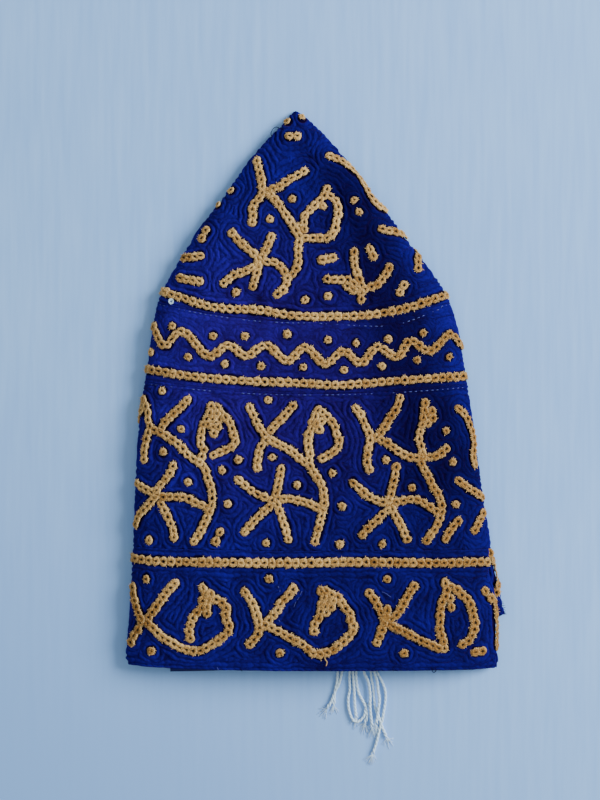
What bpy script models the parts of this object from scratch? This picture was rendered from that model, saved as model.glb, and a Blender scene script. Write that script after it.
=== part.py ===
"""A tall pointed cap of thick stitched cloth, lying flat on a table.

The cap lies along Y with its tip at +Y and its open mouth at -Y. Its underside is flat on the
table at z = 0 and its upper side is a low arch. It is sewn from a crown, a narrow zigzag band and
a tall band. Below two side slits hang a front flap and a back flap. The cap has slipped round a
little, so the right slit lies on the upper side and the left slit on the underside. A few loose
white threads come out of the mouth and lie on the table.

Lengths in the tables are millimetres. The mesh is built in metres.
"""

import math

import bpy
from mathutils import Vector

MM = 0.001
SHARP_ANGLE = math.radians(50)

# Cloth
WALL = 2.2
GAP = 0.3
FOLD_RADIUS = 5.0
FOLD_SHARE_OF_HEIGHT = 0.45
ARCH_POWER = 2.4

# Levels along the cap, at its middle line
TIP_Y = 262.8
CROWN_SEAM_Y = 107.3
BAND_SEAM_Y = 55.5
SLIT_TOP_Y = -56.9
FRONT_HEM_Y = -143.7
TIP_CLOTH = 6.5

# The outline seen from above. The upper table runs from the tip to the slits.
OUTLINE = (
    # y, left fold, right fold
    (262.3, -13.6, -9.6),
    (259.6, -16.2, -6.4),
    (252.0, -21.6, 1.8),
    (242.4, -31.8, 11.8),
    (230.7, -42.2, 21.8),
    (213.2, -55.2, 35.2),
    (195.6, -67.4, 49.0),
    (178.1, -81.4, 62.2),
    (160.6, -92.4, 75.2),
    (143.1, -102.8, 88.8),
    (125.6, -111.6, 99.4),
    (102.2, -116.8, 107.2),
    (78.8, -120.0, 111.0),
    (55.5, -123.6, 114.6),
    (20.4, -127.4, 119.6),
    (-14.6, -129.2, 124.2),
    (-55.5, -130.7, 130.4),
    (-96.4, -132.9, 130.4),
)
FLAPS = (
    # y, left fold, free edge of the front flap, right fold of the back flap
    (-56.9, -130.8, 128.8, 130.8),
    (-72.0, -131.5, 129.4, 133.8),
    (-86.0, -132.3, 132.6, 137.2),
    (-98.0, -133.0, 134.8, 139.4),
    (-105.0, -133.5, 134.6, 141.4),
    (-131.0, -135.4, 135.2, 141.4),
    (-140.0, -135.6, 136.2, 141.4),
    (-144.0, -134.4, 135.6, 141.4),
)

# How high the upper side lies, and how far each row of the cloth curves up towards the folds
SHAPE = (
    # y, height, rise of the row at the left fold, at the right fold
    (262.3, 4.6, 0.0, 0.0),
    (252.0, 8.6, 1.0, 1.0),
    (230.7, 12.6, 3.0, 3.0),
    (195.6, 16.8, 6.3, 6.3),
    (143.1, 20.4, 11.3, 11.3),
    (107.3, 22.0, 14.6, 14.6),
    (81.0, 23.6, 11.4, 9.8),
    (55.5, 24.0, 8.8, 6.0),
    (0.0, 25.4, 5.0, 3.0),
    (-56.9, 25.0, 1.6, 0.2),
    (-100.0, 23.6, 1.8, -0.2),
    (-143.7, 21.0, 2.2, -0.6),
)
SEAM_DIP = 1.4
SEAM_DIP_REACH = 5.0
TUCKS = (
    # x, y, radius, depth of a dent in the upper side
    (-49.0, 117.0, 13.0, 2.4),
    (-98.0, 122.0, 11.0, 1.4),
    (58.0, 112.0, 16.0, 1.2),
    (-20.0, -10.0, 34.0, 1.4),
)

# The right edge of the front flap lies over the back flap's margin and droops past it.
EDGE_HEIGHT = 6.4
EDGE_ARCH_SHARE = 0.985
DROOP = (
    # y, how far the front flap's free edge has sunk
    (-98.0, 0.0),
    (-112.0, 2.0),
    (-132.0, 6.0),
    (-146.0, 7.2),
)

# The back flap: its left edge, its hem, and the margin that turns up round the right fold.
# The hem starts level at the left and climbs towards the right fold.
BACK_SLIT_X = -114.6
BACK_FOLD_RADIUS = 3.3
BACK_HEM_LEFT_Y = -147.6
BACK_HEM_RIGHT_Y = -105.0
BACK_HEM_CURVE = 2.4
MARGIN_WIDTH = 16.0
MARGIN_HEM_DROP = 2.0

# Colours of the materials
CLOTH_ROUGHNESS = 0.9
CROWN_BLUE = (0.020, 0.022, 0.20)
ZIGZAG_BLUE = (0.024, 0.026, 0.23)
TALL_BLUE = (0.020, 0.020, 0.18)
FRONT_BLUE = (0.018, 0.018, 0.17)
BACK_BLUE = (0.016, 0.016, 0.15)
THREAD_WHITE = (0.72, 0.74, 0.72)
THREAD_ROUGHNESS = 0.8

# How finely each stretch of the outline is divided
ARCH_STEPS = 24
FLOOR_STEPS = 8
FOLD_STEPS = 3
MARGIN_STEPS = 2
CROWN_ROWS = 15
CROWN_CROWDING = 1.6
ZIGZAG_ROWS = 5
TALL_ROWS = 7
FLAP_ROWS = 8

# The loose threads
THREAD_RADIUS = 1.2
THREAD_SIDES = 6
THREAD_STEPS = 12
THREAD_LIFT = 0.1
THREAD_EXTRA = 0.04
THREAD_TURN = 0.17
KNOT_CENTRE = (33.0, -112.5)
KNOT_SIZE = (15.0, 9.0, 3.6)
KNOT_SEGMENTS = 12
KNOT_RINGS = 6
HEM_CLEARANCE = 4.0
HEM_STEP_REACH = 7.0
LOCKS = (
    # each lock's route over the table, x and y, from the knot to its loose end
    ((29.0, -113.0), (24.5, -126.0), (20.5, -143.0), (18.6, -159.0), (16.8, -172.0)),
    ((31.0, -113.5), (27.0, -130.0), (23.0, -150.0), (16.4, -164.0), (11.0, -173.0)),
    ((32.0, -114.0), (28.8, -134.0), (26.6, -159.0), (28.2, -179.0), (33.0, -184.0),
     (38.0, -180.0), (39.2, -172.4)),
    ((34.0, -114.0), (32.4, -135.0), (34.6, -161.0), (39.6, -174.0), (43.8, -187.6)),
    ((36.0, -113.5), (39.8, -135.0), (45.2, -162.0), (47.4, -175.0), (49.8, -184.0),
     (54.8, -195.6)),
    ((38.0, -113.0), (43.6, -135.0), (52.6, -157.0), (52.8, -173.0), (48.6, -188.0),
     (47.6, -198.0), (44.6, -207.6)),
)


def remove_everything():
    for old in list(bpy.data.objects):
        bpy.data.objects.remove(old, do_unlink=True)


def make_material(name, colour, roughness):
    material = bpy.data.materials.new(name)
    material.use_nodes = True
    shader = material.node_tree.nodes["Principled BSDF"]
    shader.inputs["Base Color"].default_value = (*colour, 1.0)
    shader.inputs["Roughness"].default_value = roughness
    shader.inputs["Metallic"].default_value = 0.0
    material.diffuse_color = (*colour, 1.0)
    return material


def read_table(table, y, column):
    """Read one column at y. The tables run from high y to low y."""
    if y >= table[0][0]:
        return table[0][column]
    for upper, lower in zip(table, table[1:]):
        if y >= lower[0]:
            share = (upper[0] - y) / (upper[0] - lower[0])
            return upper[column] + (lower[column] - upper[column]) * share
    return table[-1][column]


def height_at(y):
    height = read_table(SHAPE, y, 1)
    for seam in (CROWN_SEAM_Y, BAND_SEAM_Y):
        height -= SEAM_DIP * math.exp(-(((y - seam) / SEAM_DIP_REACH) ** 2))
    return height


def tuck_depth(x, y):
    depth = 0.0
    for tuck_x, tuck_y, radius, deep in TUCKS:
        distance = math.hypot(x - tuck_x, y - tuck_y)
        depth += deep * math.exp(-((distance / radius) ** 2))
    return depth


def row_y(middle_y, x, left, right):
    """A row of the cloth curves up towards the folds, as a ring of a flattened cone does."""
    middle_x = 0.5 * (left + right)
    sideways = min(abs(x - middle_x) / (0.5 * (right - left)), 1.0)
    rise = read_table(SHAPE, middle_y, 2 if x < middle_x else 3)
    return middle_y + rise * sideways ** 2


def inset(line, depth, closed):
    """Move a line of (x, z) points to its left by depth."""
    moved = []
    last = len(line) - 1
    for i, (x, z) in enumerate(line):
        before = line[i - 1] if closed or i > 0 else line[i]
        after = line[(i + 1) % len(line)] if closed or i < last else line[i]
        run = after[0] - before[0]
        climb = after[1] - before[1]
        length = math.hypot(run, climb)
        moved.append((x - depth * climb / length, z + depth * run / length))
    return moved


def quarter(centre_x, centre_z, radius, start, steps):
    """A quarter turn to the left that starts at the angle start, without its last point."""
    points = []
    for i in range(steps):
        angle = start + 0.5 * math.pi * i / steps
        points.append((centre_x + radius * math.cos(angle), centre_z + radius * math.sin(angle)))
    return points


def arch(left, right, left_z, right_z, top, y, right_share=1.0):
    """The upper side from its right end to its left end, both included."""
    middle = 0.5 * (left + right)
    half = 0.5 * (right - left)
    start = math.acos(right_share ** (0.5 * ARCH_POWER))
    points = []
    for i in range(ARCH_STEPS + 1):
        angle = start + (math.pi - start) * i / ARCH_STEPS
        across = math.copysign(abs(math.cos(angle)) ** (2 / ARCH_POWER), math.cos(angle))
        up = abs(math.sin(angle)) ** (2 / ARCH_POWER)
        reach = half / right_share if across > 0 else half
        x = middle + reach * across
        end_z = right_z if across > 0 else left_z
        points.append((x, end_z + (top - end_z) * up - tuck_depth(x, y) * up))
    return points


def ring(y):
    """The closed section of the cap, from the left end of its flat underside, to the right."""
    left = read_table(OUTLINE, y + read_table(SHAPE, y, 2), 1)
    right = read_table(OUTLINE, y + read_table(SHAPE, y, 3), 2)
    top = height_at(y)
    radius = min(FOLD_RADIUS, FOLD_SHARE_OF_HEIGHT * top, FOLD_SHARE_OF_HEIGHT * (right - left))
    points = []
    for i in range(FLOOR_STEPS):
        share = i / FLOOR_STEPS
        points.append((left + radius + (right - left - 2 * radius) * share, 0.0))
    points += quarter(right - radius, radius, radius, -0.5 * math.pi, FOLD_STEPS)
    points += arch(left, right, radius, radius, top, y)[:-1]
    points += quarter(left + radius, radius, radius, math.pi, FOLD_STEPS)
    return points, left, right


def front_line(y):
    """The front flap's section, from its free right edge over the top to its edge underneath."""
    left = read_table(FLAPS, y, 1)
    right = read_table(FLAPS, y, 2)
    edge_z = EDGE_HEIGHT - read_table(DROOP, y, 1)
    points = arch(left, right, FOLD_RADIUS, edge_z, height_at(y), y, EDGE_ARCH_SHARE)[:-1]
    points += quarter(left + FOLD_RADIUS, FOLD_RADIUS, FOLD_RADIUS, math.pi, FOLD_STEPS)
    for i in range(MARGIN_STEPS + 1):
        share = i / MARGIN_STEPS
        start = left + FOLD_RADIUS
        points.append((start + (BACK_SLIT_X - GAP - start) * share, 0.0))
    return points, left, right


def back_line(y):
    """The back flap's section, from its left edge, over the table and up round the right fold."""
    left = BACK_SLIT_X + GAP
    right = read_table(FLAPS, y, 3)
    radius = BACK_FOLD_RADIUS
    points = []
    for i in range(FLOOR_STEPS):
        points.append((left + (right - radius - left) * i / FLOOR_STEPS, 0.0))
    points += quarter(right - radius, radius, radius, -0.5 * math.pi, FOLD_STEPS)
    points += quarter(right - radius, radius, radius, 0.0, FOLD_STEPS)
    for i in range(MARGIN_STEPS + 1):
        points.append((right - radius - MARGIN_WIDTH * i / MARGIN_STEPS, 2 * radius))
    return points


def tube_rows(levels, depth):
    """Rows of points round the cap at the given levels, moved inwards by depth."""
    rows = []
    for y in levels:
        outer, left, right = ring(y)
        line = inset(outer, depth, True) if depth else outer
        rows.append([(x, row_y(y, out_x, left, right), z)
                     for (x, z), (out_x, _) in zip(line, outer)])
    return rows


def front_rows(depth):
    rows = []
    for i in range(FLAP_ROWS + 1):
        y = SLIT_TOP_Y - GAP + (FRONT_HEM_Y - SLIT_TOP_Y + GAP) * i / FLAP_ROWS
        outer, left, right = front_line(y)
        line = inset(outer, depth, False) if depth else outer
        rows.append([(x, row_y(y, out_x, left, right), z)
                     for (x, z), (out_x, _) in zip(line, outer)])
    return rows


def back_hem_at(x):
    """The back flap's lower edge at x, from its left end to the right fold."""
    share = (x - BACK_SLIT_X) / (FLAPS[-1][3] - BACK_SLIT_X)
    share = min(max(share, 0.0), 1.0)
    return BACK_HEM_LEFT_Y + (BACK_HEM_RIGHT_Y - BACK_HEM_LEFT_Y) * share ** BACK_HEM_CURVE


def back_hem_y(column):
    """The lower edge at each column. Past the right fold it drops a little again."""
    outer = back_line(BACK_HEM_RIGHT_Y)
    fold_column = FLOOR_STEPS + FOLD_STEPS
    if column <= fold_column:
        return back_hem_at(outer[column][0])
    share = (column - fold_column) / (len(outer) - 1 - fold_column)
    return BACK_HEM_RIGHT_Y - MARGIN_HEM_DROP * share


def back_rows(depth):
    left = read_table(FLAPS, SLIT_TOP_Y, 1)
    right = read_table(FLAPS, SLIT_TOP_Y, 3)
    top_line = back_line(SLIT_TOP_Y)
    rows = []
    for i in range(FLAP_ROWS + 1):
        row = []
        for column, (top_x, _) in enumerate(top_line):
            top_y = row_y(SLIT_TOP_Y - GAP, top_x, left, right)
            y = top_y + (back_hem_y(column) - top_y) * i / FLAP_ROWS
            outer = back_line(y)
            line = inset(outer, depth, False) if depth else outer
            row.append((line[column][0], y, line[column][1]))
        rows.append(row)
    return rows


def cloth_object(name, outer, inner, material, ring_closed, tips=None):
    """Join an outer and an inner skin along their open edges into one body.

    The rows run from the tip towards the mouth. tips holds the outer and the inner end point
    where the first row closes.
    """
    rows = len(outer)
    columns = len(outer[0])
    points = [point for row in outer for point in row]
    points += [point for row in inner for point in row]
    faces = []

    def at(skin, row, column):
        return skin * rows * columns + row * columns + column % columns

    spans = columns if ring_closed else columns - 1
    for row in range(rows - 1):
        for column in range(spans):
            quad = [(row, column), (row, column + 1), (row + 1, column + 1), (row + 1, column)]
            faces.append([at(0, r, c) for r, c in quad])
            faces.append([at(1, r, c) for r, c in reversed(quad)])
    last = rows - 1
    for column in range(spans):
        faces.append([at(0, last, column), at(0, last, column + 1),
                      at(1, last, column + 1), at(1, last, column)])
        if tips is None:
            faces.append([at(0, 0, column), at(1, 0, column),
                          at(1, 0, column + 1), at(0, 0, column + 1)])
        else:
            faces.append([len(points), at(0, 0, column + 1), at(0, 0, column)])
            faces.append([len(points) + 1, at(1, 0, column), at(1, 0, column + 1)])
    if not ring_closed:
        end = columns - 1
        for row in range(last):
            faces.append([at(0, row, 0), at(0, row + 1, 0), at(1, row + 1, 0), at(1, row, 0)])
            faces.append([at(0, row + 1, end), at(0, row, end),
                          at(1, row, end), at(1, row + 1, end)])
    if tips is not None:
        points += list(tips)
    return mesh_object(name, points, faces, material)


def mesh_object(name, points, faces, material):
    mesh = bpy.data.meshes.new(name)
    mesh.from_pydata([Vector(point) * MM for point in points], [], faces)
    mesh.materials.append(material)
    mesh.shade_smooth()
    mesh.set_sharp_from_angle(angle=SHARP_ANGLE)
    made = bpy.data.objects.new(name, mesh)
    bpy.context.scene.collection.objects.link(made)
    return made


def even_levels(start, end, rows):
    return [start + (end - start) * i / rows for i in range(rows + 1)]


def make_crown(material):
    """The crown's rows lie closer together towards the tip, where its outline turns."""
    foot = CROWN_SEAM_Y + 0.5 * GAP
    head = OUTLINE[0][0]
    outer_levels = [head - (head - foot) * (i / CROWN_ROWS) ** CROWN_CROWDING
                    for i in range(CROWN_ROWS + 1)]
    shrink = (head - TIP_CLOTH - foot) / (head - foot)
    inner_levels = [foot + (y - foot) * shrink for y in outer_levels]
    outer = tube_rows(outer_levels, 0.0)
    inner = tube_rows(inner_levels, WALL)
    tip_x = 0.5 * (OUTLINE[0][1] + OUTLINE[0][2])
    tips = ((tip_x, TIP_Y, 0.5 * SHAPE[0][1]), (tip_x, inner_levels[0], 0.5 * SHAPE[1][1]))
    return cloth_object("crown", outer, inner, material, True, tips)


def make_band(name, top_y, foot_y, rows, material):
    levels = even_levels(top_y, foot_y, rows)
    outer = tube_rows(levels, 0.0)
    inner = tube_rows(levels, WALL)
    return cloth_object(name, outer, inner, material, True)


def smooth_route(points, steps):
    """Points along a smooth curve through the given ones."""
    ends = [points[0], *points, points[-1]]
    spans = len(points) - 1
    route = []
    for i in range(steps + 1):
        place = i * spans / steps
        span = min(int(place), spans - 1)
        t = place - span
        a, b, c, d = (Vector(ends[span + k]) for k in range(4))
        route.append(0.5 * (2 * b + (c - a) * t + (2 * a - 5 * b + 4 * c - d) * t ** 2
                            + (3 * b - a - 3 * c + d) * t ** 3))
    return route


def thread_height(x, y, radius):
    """A thread lies on the back flap, then steps down over its hem to the table."""
    on_flap = WALL + GAP + radius
    on_table = radius + THREAD_LIFT
    past_hem = (back_hem_at(x) - y - radius - HEM_CLEARANCE) / HEM_STEP_REACH
    share = min(max(past_hem, 0.0), 1.0)
    return on_flap + (on_table - on_flap) * share * share * (3 - 2 * share)


def make_lock(index, points, material):
    """One loose thread as a thin tube with closed ends.

    Each tube is a little thicker and more turned than the last, so no two faces lie in one plane.
    """
    radius = THREAD_RADIUS + THREAD_EXTRA * index
    turn = THREAD_TURN * index
    route = [(p.x, p.y, thread_height(p.x, p.y, radius)) for p in smooth_route(points, THREAD_STEPS)]
    rings = []
    for i, place in enumerate(route):
        before = Vector(route[max(i - 1, 0)])
        along = (Vector(route[min(i + 1, len(route) - 1)]) - before).normalized()
        side = along.cross(Vector((0, 0, 1))).normalized()
        up = side.cross(along)
        for k in range(THREAD_SIDES):
            angle = turn + 2 * math.pi * k / THREAD_SIDES
            offset = side * math.cos(angle) + up * math.sin(angle)
            rings.append(Vector(place) + offset * radius)
    faces = []
    for i in range(len(route) - 1):
        for k in range(THREAD_SIDES):
            near = i * THREAD_SIDES + k
            beside = i * THREAD_SIDES + (k + 1) % THREAD_SIDES
            faces.append([near, near + THREAD_SIDES, beside + THREAD_SIDES, beside])
    last = len(rings) - THREAD_SIDES
    faces.append(list(range(THREAD_SIDES)))
    faces.append([last + k for k in reversed(range(THREAD_SIDES))])
    return mesh_object(f"lock_{index}", rings, faces, material)


def make_knot(material):
    """The small flat knot inside the mouth that the loose threads start from."""
    half = [0.5 * size for size in KNOT_SIZE]
    centre = Vector((*KNOT_CENTRE, WALL + GAP + half[2]))
    points = [centre - Vector((0, 0, half[2]))]
    for i in range(1, KNOT_RINGS):
        polar = math.pi * i / KNOT_RINGS
        for k in range(KNOT_SEGMENTS):
            angle = 2 * math.pi * k / KNOT_SEGMENTS
            points.append(centre + Vector((half[0] * math.sin(polar) * math.cos(angle),
                                           half[1] * math.sin(polar) * math.sin(angle),
                                           -half[2] * math.cos(polar))))
    points.append(centre + Vector((0, 0, half[2])))
    faces = []
    for k in range(KNOT_SEGMENTS):
        beside = (k + 1) % KNOT_SEGMENTS
        faces.append([0, 1 + beside, 1 + k])
        for i in range(KNOT_RINGS - 2):
            low = 1 + i * KNOT_SEGMENTS
            high = low + KNOT_SEGMENTS
            faces.append([low + k, low + beside, high + beside, high + k])
        top = 1 + (KNOT_RINGS - 2) * KNOT_SEGMENTS
        faces.append([len(points) - 1, top + k, top + beside])
    return mesh_object("thread_tassel", points, faces, material)


def make_thread_tassel(material):
    """Fuse the knot and its threads into one body."""
    tassel = make_knot(material)
    locks = [make_lock(i, points, material) for i, points in enumerate(LOCKS)]
    for lock in locks:
        fuse = tassel.modifiers.new(lock.name, "BOOLEAN")
        fuse.operation = "UNION"
        fuse.solver = "EXACT"
        fuse.object = lock
    bpy.context.view_layer.update()
    graph = bpy.context.evaluated_depsgraph_get()
    fused = bpy.data.meshes.new_from_object(tassel.evaluated_get(graph))
    tassel.modifiers.clear()
    tassel.data = fused
    for lock in locks:
        bpy.data.objects.remove(lock, do_unlink=True)
    return tassel


def build():
    remove_everything()
    crown_cloth = make_material("crown cloth", CROWN_BLUE, CLOTH_ROUGHNESS)
    zigzag_cloth = make_material("zigzag band cloth", ZIGZAG_BLUE, CLOTH_ROUGHNESS)
    tall_cloth = make_material("tall band cloth", TALL_BLUE, CLOTH_ROUGHNESS)
    front_cloth = make_material("front flap cloth", FRONT_BLUE, CLOTH_ROUGHNESS)
    back_cloth = make_material("back flap cloth", BACK_BLUE, CLOTH_ROUGHNESS)
    thread = make_material("white thread", THREAD_WHITE, THREAD_ROUGHNESS)
    make_crown(crown_cloth)
    make_band("zigzag_band", CROWN_SEAM_Y - 0.5 * GAP, BAND_SEAM_Y + 0.5 * GAP,
              ZIGZAG_ROWS, zigzag_cloth)
    make_band("tall_band", BAND_SEAM_Y - 0.5 * GAP, SLIT_TOP_Y, TALL_ROWS, tall_cloth)
    cloth_object("front_flap", front_rows(0.0), front_rows(WALL), front_cloth, False)
    cloth_object("back_flap", back_rows(0.0), back_rows(WALL), back_cloth, False)
    make_thread_tassel(thread)


build()
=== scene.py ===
# %% [markdown]
# # A tall pointed cap, laid flat
#
# The cap is thick cloth that is covered all over in chain stitch: gold yarn for the flowers and
# stripes, blue yarn in close rows for the ground. This lesson dresses the five cloth pieces and the
# loose threads of the packed model. It goes from the lie of the cloth, over a paper chart of the
# flowers, to every single gold stitch.

# %% Load the frame
import math

import bpy
import numpy as np
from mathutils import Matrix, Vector


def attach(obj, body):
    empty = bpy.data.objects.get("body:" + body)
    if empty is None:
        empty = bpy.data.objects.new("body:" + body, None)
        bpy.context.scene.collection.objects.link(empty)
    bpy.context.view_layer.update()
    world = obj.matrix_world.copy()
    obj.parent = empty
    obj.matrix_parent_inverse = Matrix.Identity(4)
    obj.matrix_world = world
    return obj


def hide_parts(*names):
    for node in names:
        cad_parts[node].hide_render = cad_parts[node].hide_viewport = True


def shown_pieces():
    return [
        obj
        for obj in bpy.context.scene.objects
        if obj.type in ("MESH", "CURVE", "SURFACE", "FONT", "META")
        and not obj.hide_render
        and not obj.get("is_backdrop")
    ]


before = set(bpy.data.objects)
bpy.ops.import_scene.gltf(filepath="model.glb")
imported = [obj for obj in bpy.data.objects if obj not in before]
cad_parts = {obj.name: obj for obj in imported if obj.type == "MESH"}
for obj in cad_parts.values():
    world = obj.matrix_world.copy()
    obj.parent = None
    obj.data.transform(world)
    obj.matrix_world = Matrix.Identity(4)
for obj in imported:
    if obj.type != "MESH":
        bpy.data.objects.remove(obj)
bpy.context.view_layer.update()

MM = 0.001
BODY = "root"
PICTURE_ROWS = 800
print("solid nodes:", sorted(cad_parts))

# %% [markdown]
# Shader maths reads best as plain arithmetic. A small class wraps one socket of a node and gives it
# the usual operators, so that `1 - groove * 0.4` adds its own Math nodes.

# %% A small language for shader nodes
class Wire:
    """One output of a node, with arithmetic."""

    def __init__(self, board, socket):
        self.board = board
        self.socket = socket

    def math(self, operation, *others):
        values = {i: other for i, other in enumerate((self, *others))}
        return self.board.add("ShaderNodeMath", {"operation": operation}, values)

    def __add__(self, other):
        return self.math("ADD", other)

    def __sub__(self, other):
        return self.math("SUBTRACT", other)

    def __rsub__(self, other):
        return (self * -1.0) + other

    def __mul__(self, other):
        return self.math("MULTIPLY", other)

    __radd__ = __add__
    __rmul__ = __mul__

    def fract(self):
        return self.math("FRACT")

    def floor(self):
        return self.math("FLOOR")

    def distance(self, other):
        return (self - other).math("ABSOLUTE")

    def power(self, exponent):
        return self.math("POWER", exponent)

    def step(self, low, high):
        """0 below low, 1 above high, and smooth between."""
        settings = {"interpolation_type": "SMOOTHSTEP"}
        return self.board.add("ShaderNodeMapRange", settings,
                              {"Value": self, "From Min": low, "From Max": high})


print("words for a wire:", [word for word in vars(Wire) if not word.startswith("_")])

# %% [markdown]
# A second class opens a material. Its method `add` makes any other node from its type, its settings
# and its inputs, and the rest are short names for the nodes that this lesson uses often.

# %% A board of nodes
class Board:
    """A material's nodes."""

    def __init__(self, name, rough, specular, sheen, sheen_tint):
        self.material = bpy.data.materials.new(name)
        self.material.use_nodes = True
        self.tree = self.material.node_tree
        self.shader = self.tree.nodes["Principled BSDF"]
        self.shader.inputs["Roughness"].default_value = rough
        self.shader.inputs["Specular IOR Level"].default_value = specular
        self.shader.inputs["Sheen Weight"].default_value = sheen
        self.shader.inputs["Sheen Roughness"].default_value = 0.45
        self.shader.inputs["Sheen Tint"].default_value = (*sheen_tint, 1.0)

    def add(self, kind, settings, inputs, output=0):
        node = self.tree.nodes.new(kind)
        for key, value in settings.items():
            setattr(node, key, value)
        for key, value in inputs.items():
            if isinstance(value, Wire):
                self.tree.links.new(value.socket, node.inputs[key])
            else:
                node.inputs[key].default_value = value
        return Wire(self, node.outputs[output])

    def painted(self, name):
        """A number that the mesh stores on its points."""
        return self.add("ShaderNodeAttribute", {"attribute_name": name}, {}, "Fac")

    def place(self):
        return self.add("ShaderNodeTexCoord", {}, {}, "Object")

    def part(self, vector, axis):
        return self.add("ShaderNodeSeparateXYZ", {}, {"Vector": vector}, axis)

    def noise(self, vector, scale, detail):
        return self.add("ShaderNodeTexNoise", {},
                        {"Vector": vector, "Scale": scale, "Detail": detail}, "Fac")

    def vector(self, x, y, z):
        return self.add("ShaderNodeCombineXYZ", {}, {"X": x, "Y": y, "Z": z})

    def dice(self, vector):
        """A random number from 0 to 1 for each whole-numbered place."""
        return self.add("ShaderNodeTexWhiteNoise", {}, {"Vector": vector}, "Value")

    def mix(self, share, first, second):
        """A colour between two colours. A and B of the colour kind are inputs 6 and 7."""
        settings = {"data_type": "RGBA", "clamp_factor": True}
        return self.add("ShaderNodeMix", settings, {0: share, 6: first, 7: second}, 2)

    def finish(self, colour, height, depth_mm):
        bump = self.add("ShaderNodeBump", {}, {"Height": height, "Distance": depth_mm * MM,
                                               "Strength": 1.0})
        self.tree.links.new(colour.socket, self.shader.inputs["Base Color"])
        self.tree.links.new(bump.socket, self.shader.inputs["Normal"])
        return self.material


def rgb(red, green, blue):
    return (red, green, blue, 1.0)


print("words for a board:", [word for word in vars(Board) if not word.startswith("_")])

# %% [markdown]
# Lengths in this lesson are millimetres, because that is how a cap is measured, and a mesh is
# turned into metres only when it is made. Meshes, lamps and the camera all enter the scene in the
# same way, so a few lines do it for all of them.

# %% Put things into the scene
def linked(name, data):
    """An object of the scene for a mesh, a lamp or a camera."""
    made = bpy.data.objects.new(name, data)
    bpy.context.scene.collection.objects.link(made)
    return made


def smooth_mesh(name, points, faces):
    mesh = bpy.data.meshes.new(name)
    mesh.from_pydata((np.asarray(points) * MM).tolist(), [], faces)
    mesh.shade_smooth()
    return mesh


def store(mesh, name, values):
    """One number for each point of the mesh, for a material to read."""
    layer = mesh.attributes.new(name, "FLOAT", "POINT")
    layer.data.foreach_set("value", np.asarray(values, np.float32).ravel())


print("one metre is", round(1 / MM), "mm")


# %% [markdown]
# ## The lie of the cloth
#
# Laid flat, the cap is a squashed tube. Its underside is flat on the table, its two sides are tight
# folds, and its upper side is a low arch. The tables give the outline from above, the height and
# the way each round of the cloth curves up towards the folds, as rings of a flattened cone do. They
# repeat the sizes of the solids, so that the stitched skin lies exactly where the solids lie.

# %% Sizes of the laid cap, in millimetres
TIP_Y = 262.8
CROWN_SEAM_Y = 107.3
BAND_SEAM_Y = 55.5
SLIT_TOP_Y = -56.9
FRONT_HEM_Y = -143.7
FOLD_RADIUS = 5.0
FOLD_SHARE_OF_HEIGHT = 0.45
ARCH_POWER = 2.4
TIP_ROUND = 2.2

OUTLINE = np.array((
    # y, left fold, right fold
    (262.3, -13.6, -9.6),
    (259.6, -16.2, -6.4),
    (252.0, -21.6, 1.8),
    (242.4, -31.8, 11.8),
    (230.7, -42.2, 21.8),
    (213.2, -55.2, 35.2),
    (195.6, -67.4, 49.0),
    (178.1, -81.4, 62.2),
    (160.6, -92.4, 75.2),
    (143.1, -102.8, 88.8),
    (125.6, -111.6, 99.4),
    (102.2, -116.8, 107.2),
    (78.8, -120.0, 111.0),
    (55.5, -123.6, 114.6),
    (20.4, -127.4, 119.6),
    (-14.6, -129.2, 124.2),
    (-55.5, -130.7, 130.4),
    (-96.4, -132.9, 130.4),
))
FLAPS = np.array((
    # y, left fold, free edge of the front flap, right fold of the back flap
    (-56.9, -130.8, 128.8, 130.8),
    (-72.0, -131.5, 129.4, 133.8),
    (-86.0, -132.3, 132.6, 137.2),
    (-98.0, -133.0, 134.8, 139.4),
    (-105.0, -133.5, 134.6, 141.4),
    (-131.0, -135.4, 135.2, 141.4),
    (-140.0, -135.6, 136.2, 141.4),
    (-144.0, -134.4, 135.6, 141.4),
))
SHAPE = np.array((
    # y, height, rise of the round at the left fold, at the right fold
    (262.3, 4.6, 0.0, 0.0),
    (252.0, 8.6, 1.0, 1.0),
    (230.7, 12.6, 3.0, 3.0),
    (195.6, 16.8, 6.3, 6.3),
    (143.1, 20.4, 11.3, 11.3),
    (107.3, 22.0, 14.6, 14.6),
    (81.0, 23.6, 11.4, 9.8),
    (55.5, 24.0, 8.8, 6.0),
    (0.0, 25.4, 5.0, 3.0),
    (-56.9, 25.0, 1.6, 0.2),
    (-100.0, 23.6, 1.8, -0.2),
    (-143.7, 21.0, 2.2, -0.6),
))
SEAM_DIP = 1.4
SEAM_DIP_REACH = 5.0
TUCKS = (
    # x, y, radius, depth of a dent in the upper side
    (-49.0, 117.0, 13.0, 2.4),
    (-98.0, 122.0, 11.0, 1.4),
    (58.0, 112.0, 16.0, 1.2),
    (-20.0, -10.0, 34.0, 1.4),
)
EDGE_HEIGHT = 6.4
EDGE_ARCH_SHARE = 0.985
DROOP = np.array((
    # y, how far the front flap's free edge has sunk
    (-98.0, 0.0),
    (-112.0, 2.0),
    (-132.0, 6.0),
    (-146.0, 7.2),
))
BACK_SLIT_X = -114.6
SLIT_GAP = 0.3
BACK_FOLD_RADIUS = 3.3
BACK_HEM_LEFT_Y = -147.6
BACK_HEM_RIGHT_Y = -105.0
BACK_HEM_CURVE = 2.4
MARGIN_WIDTH = 16.0
MARGIN_HEM_DROP = 2.0
print("mouth laid flat:", FLAPS[3, 2] - FLAPS[3, 1], "mm wide")

# %% [markdown]
# A table read in straight steps would show corners in a finely stitched skin. So each column is
# read with a cubic that takes its slope from the neighbours on both sides, which passes through
# every entry and bends softly between them.


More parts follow.
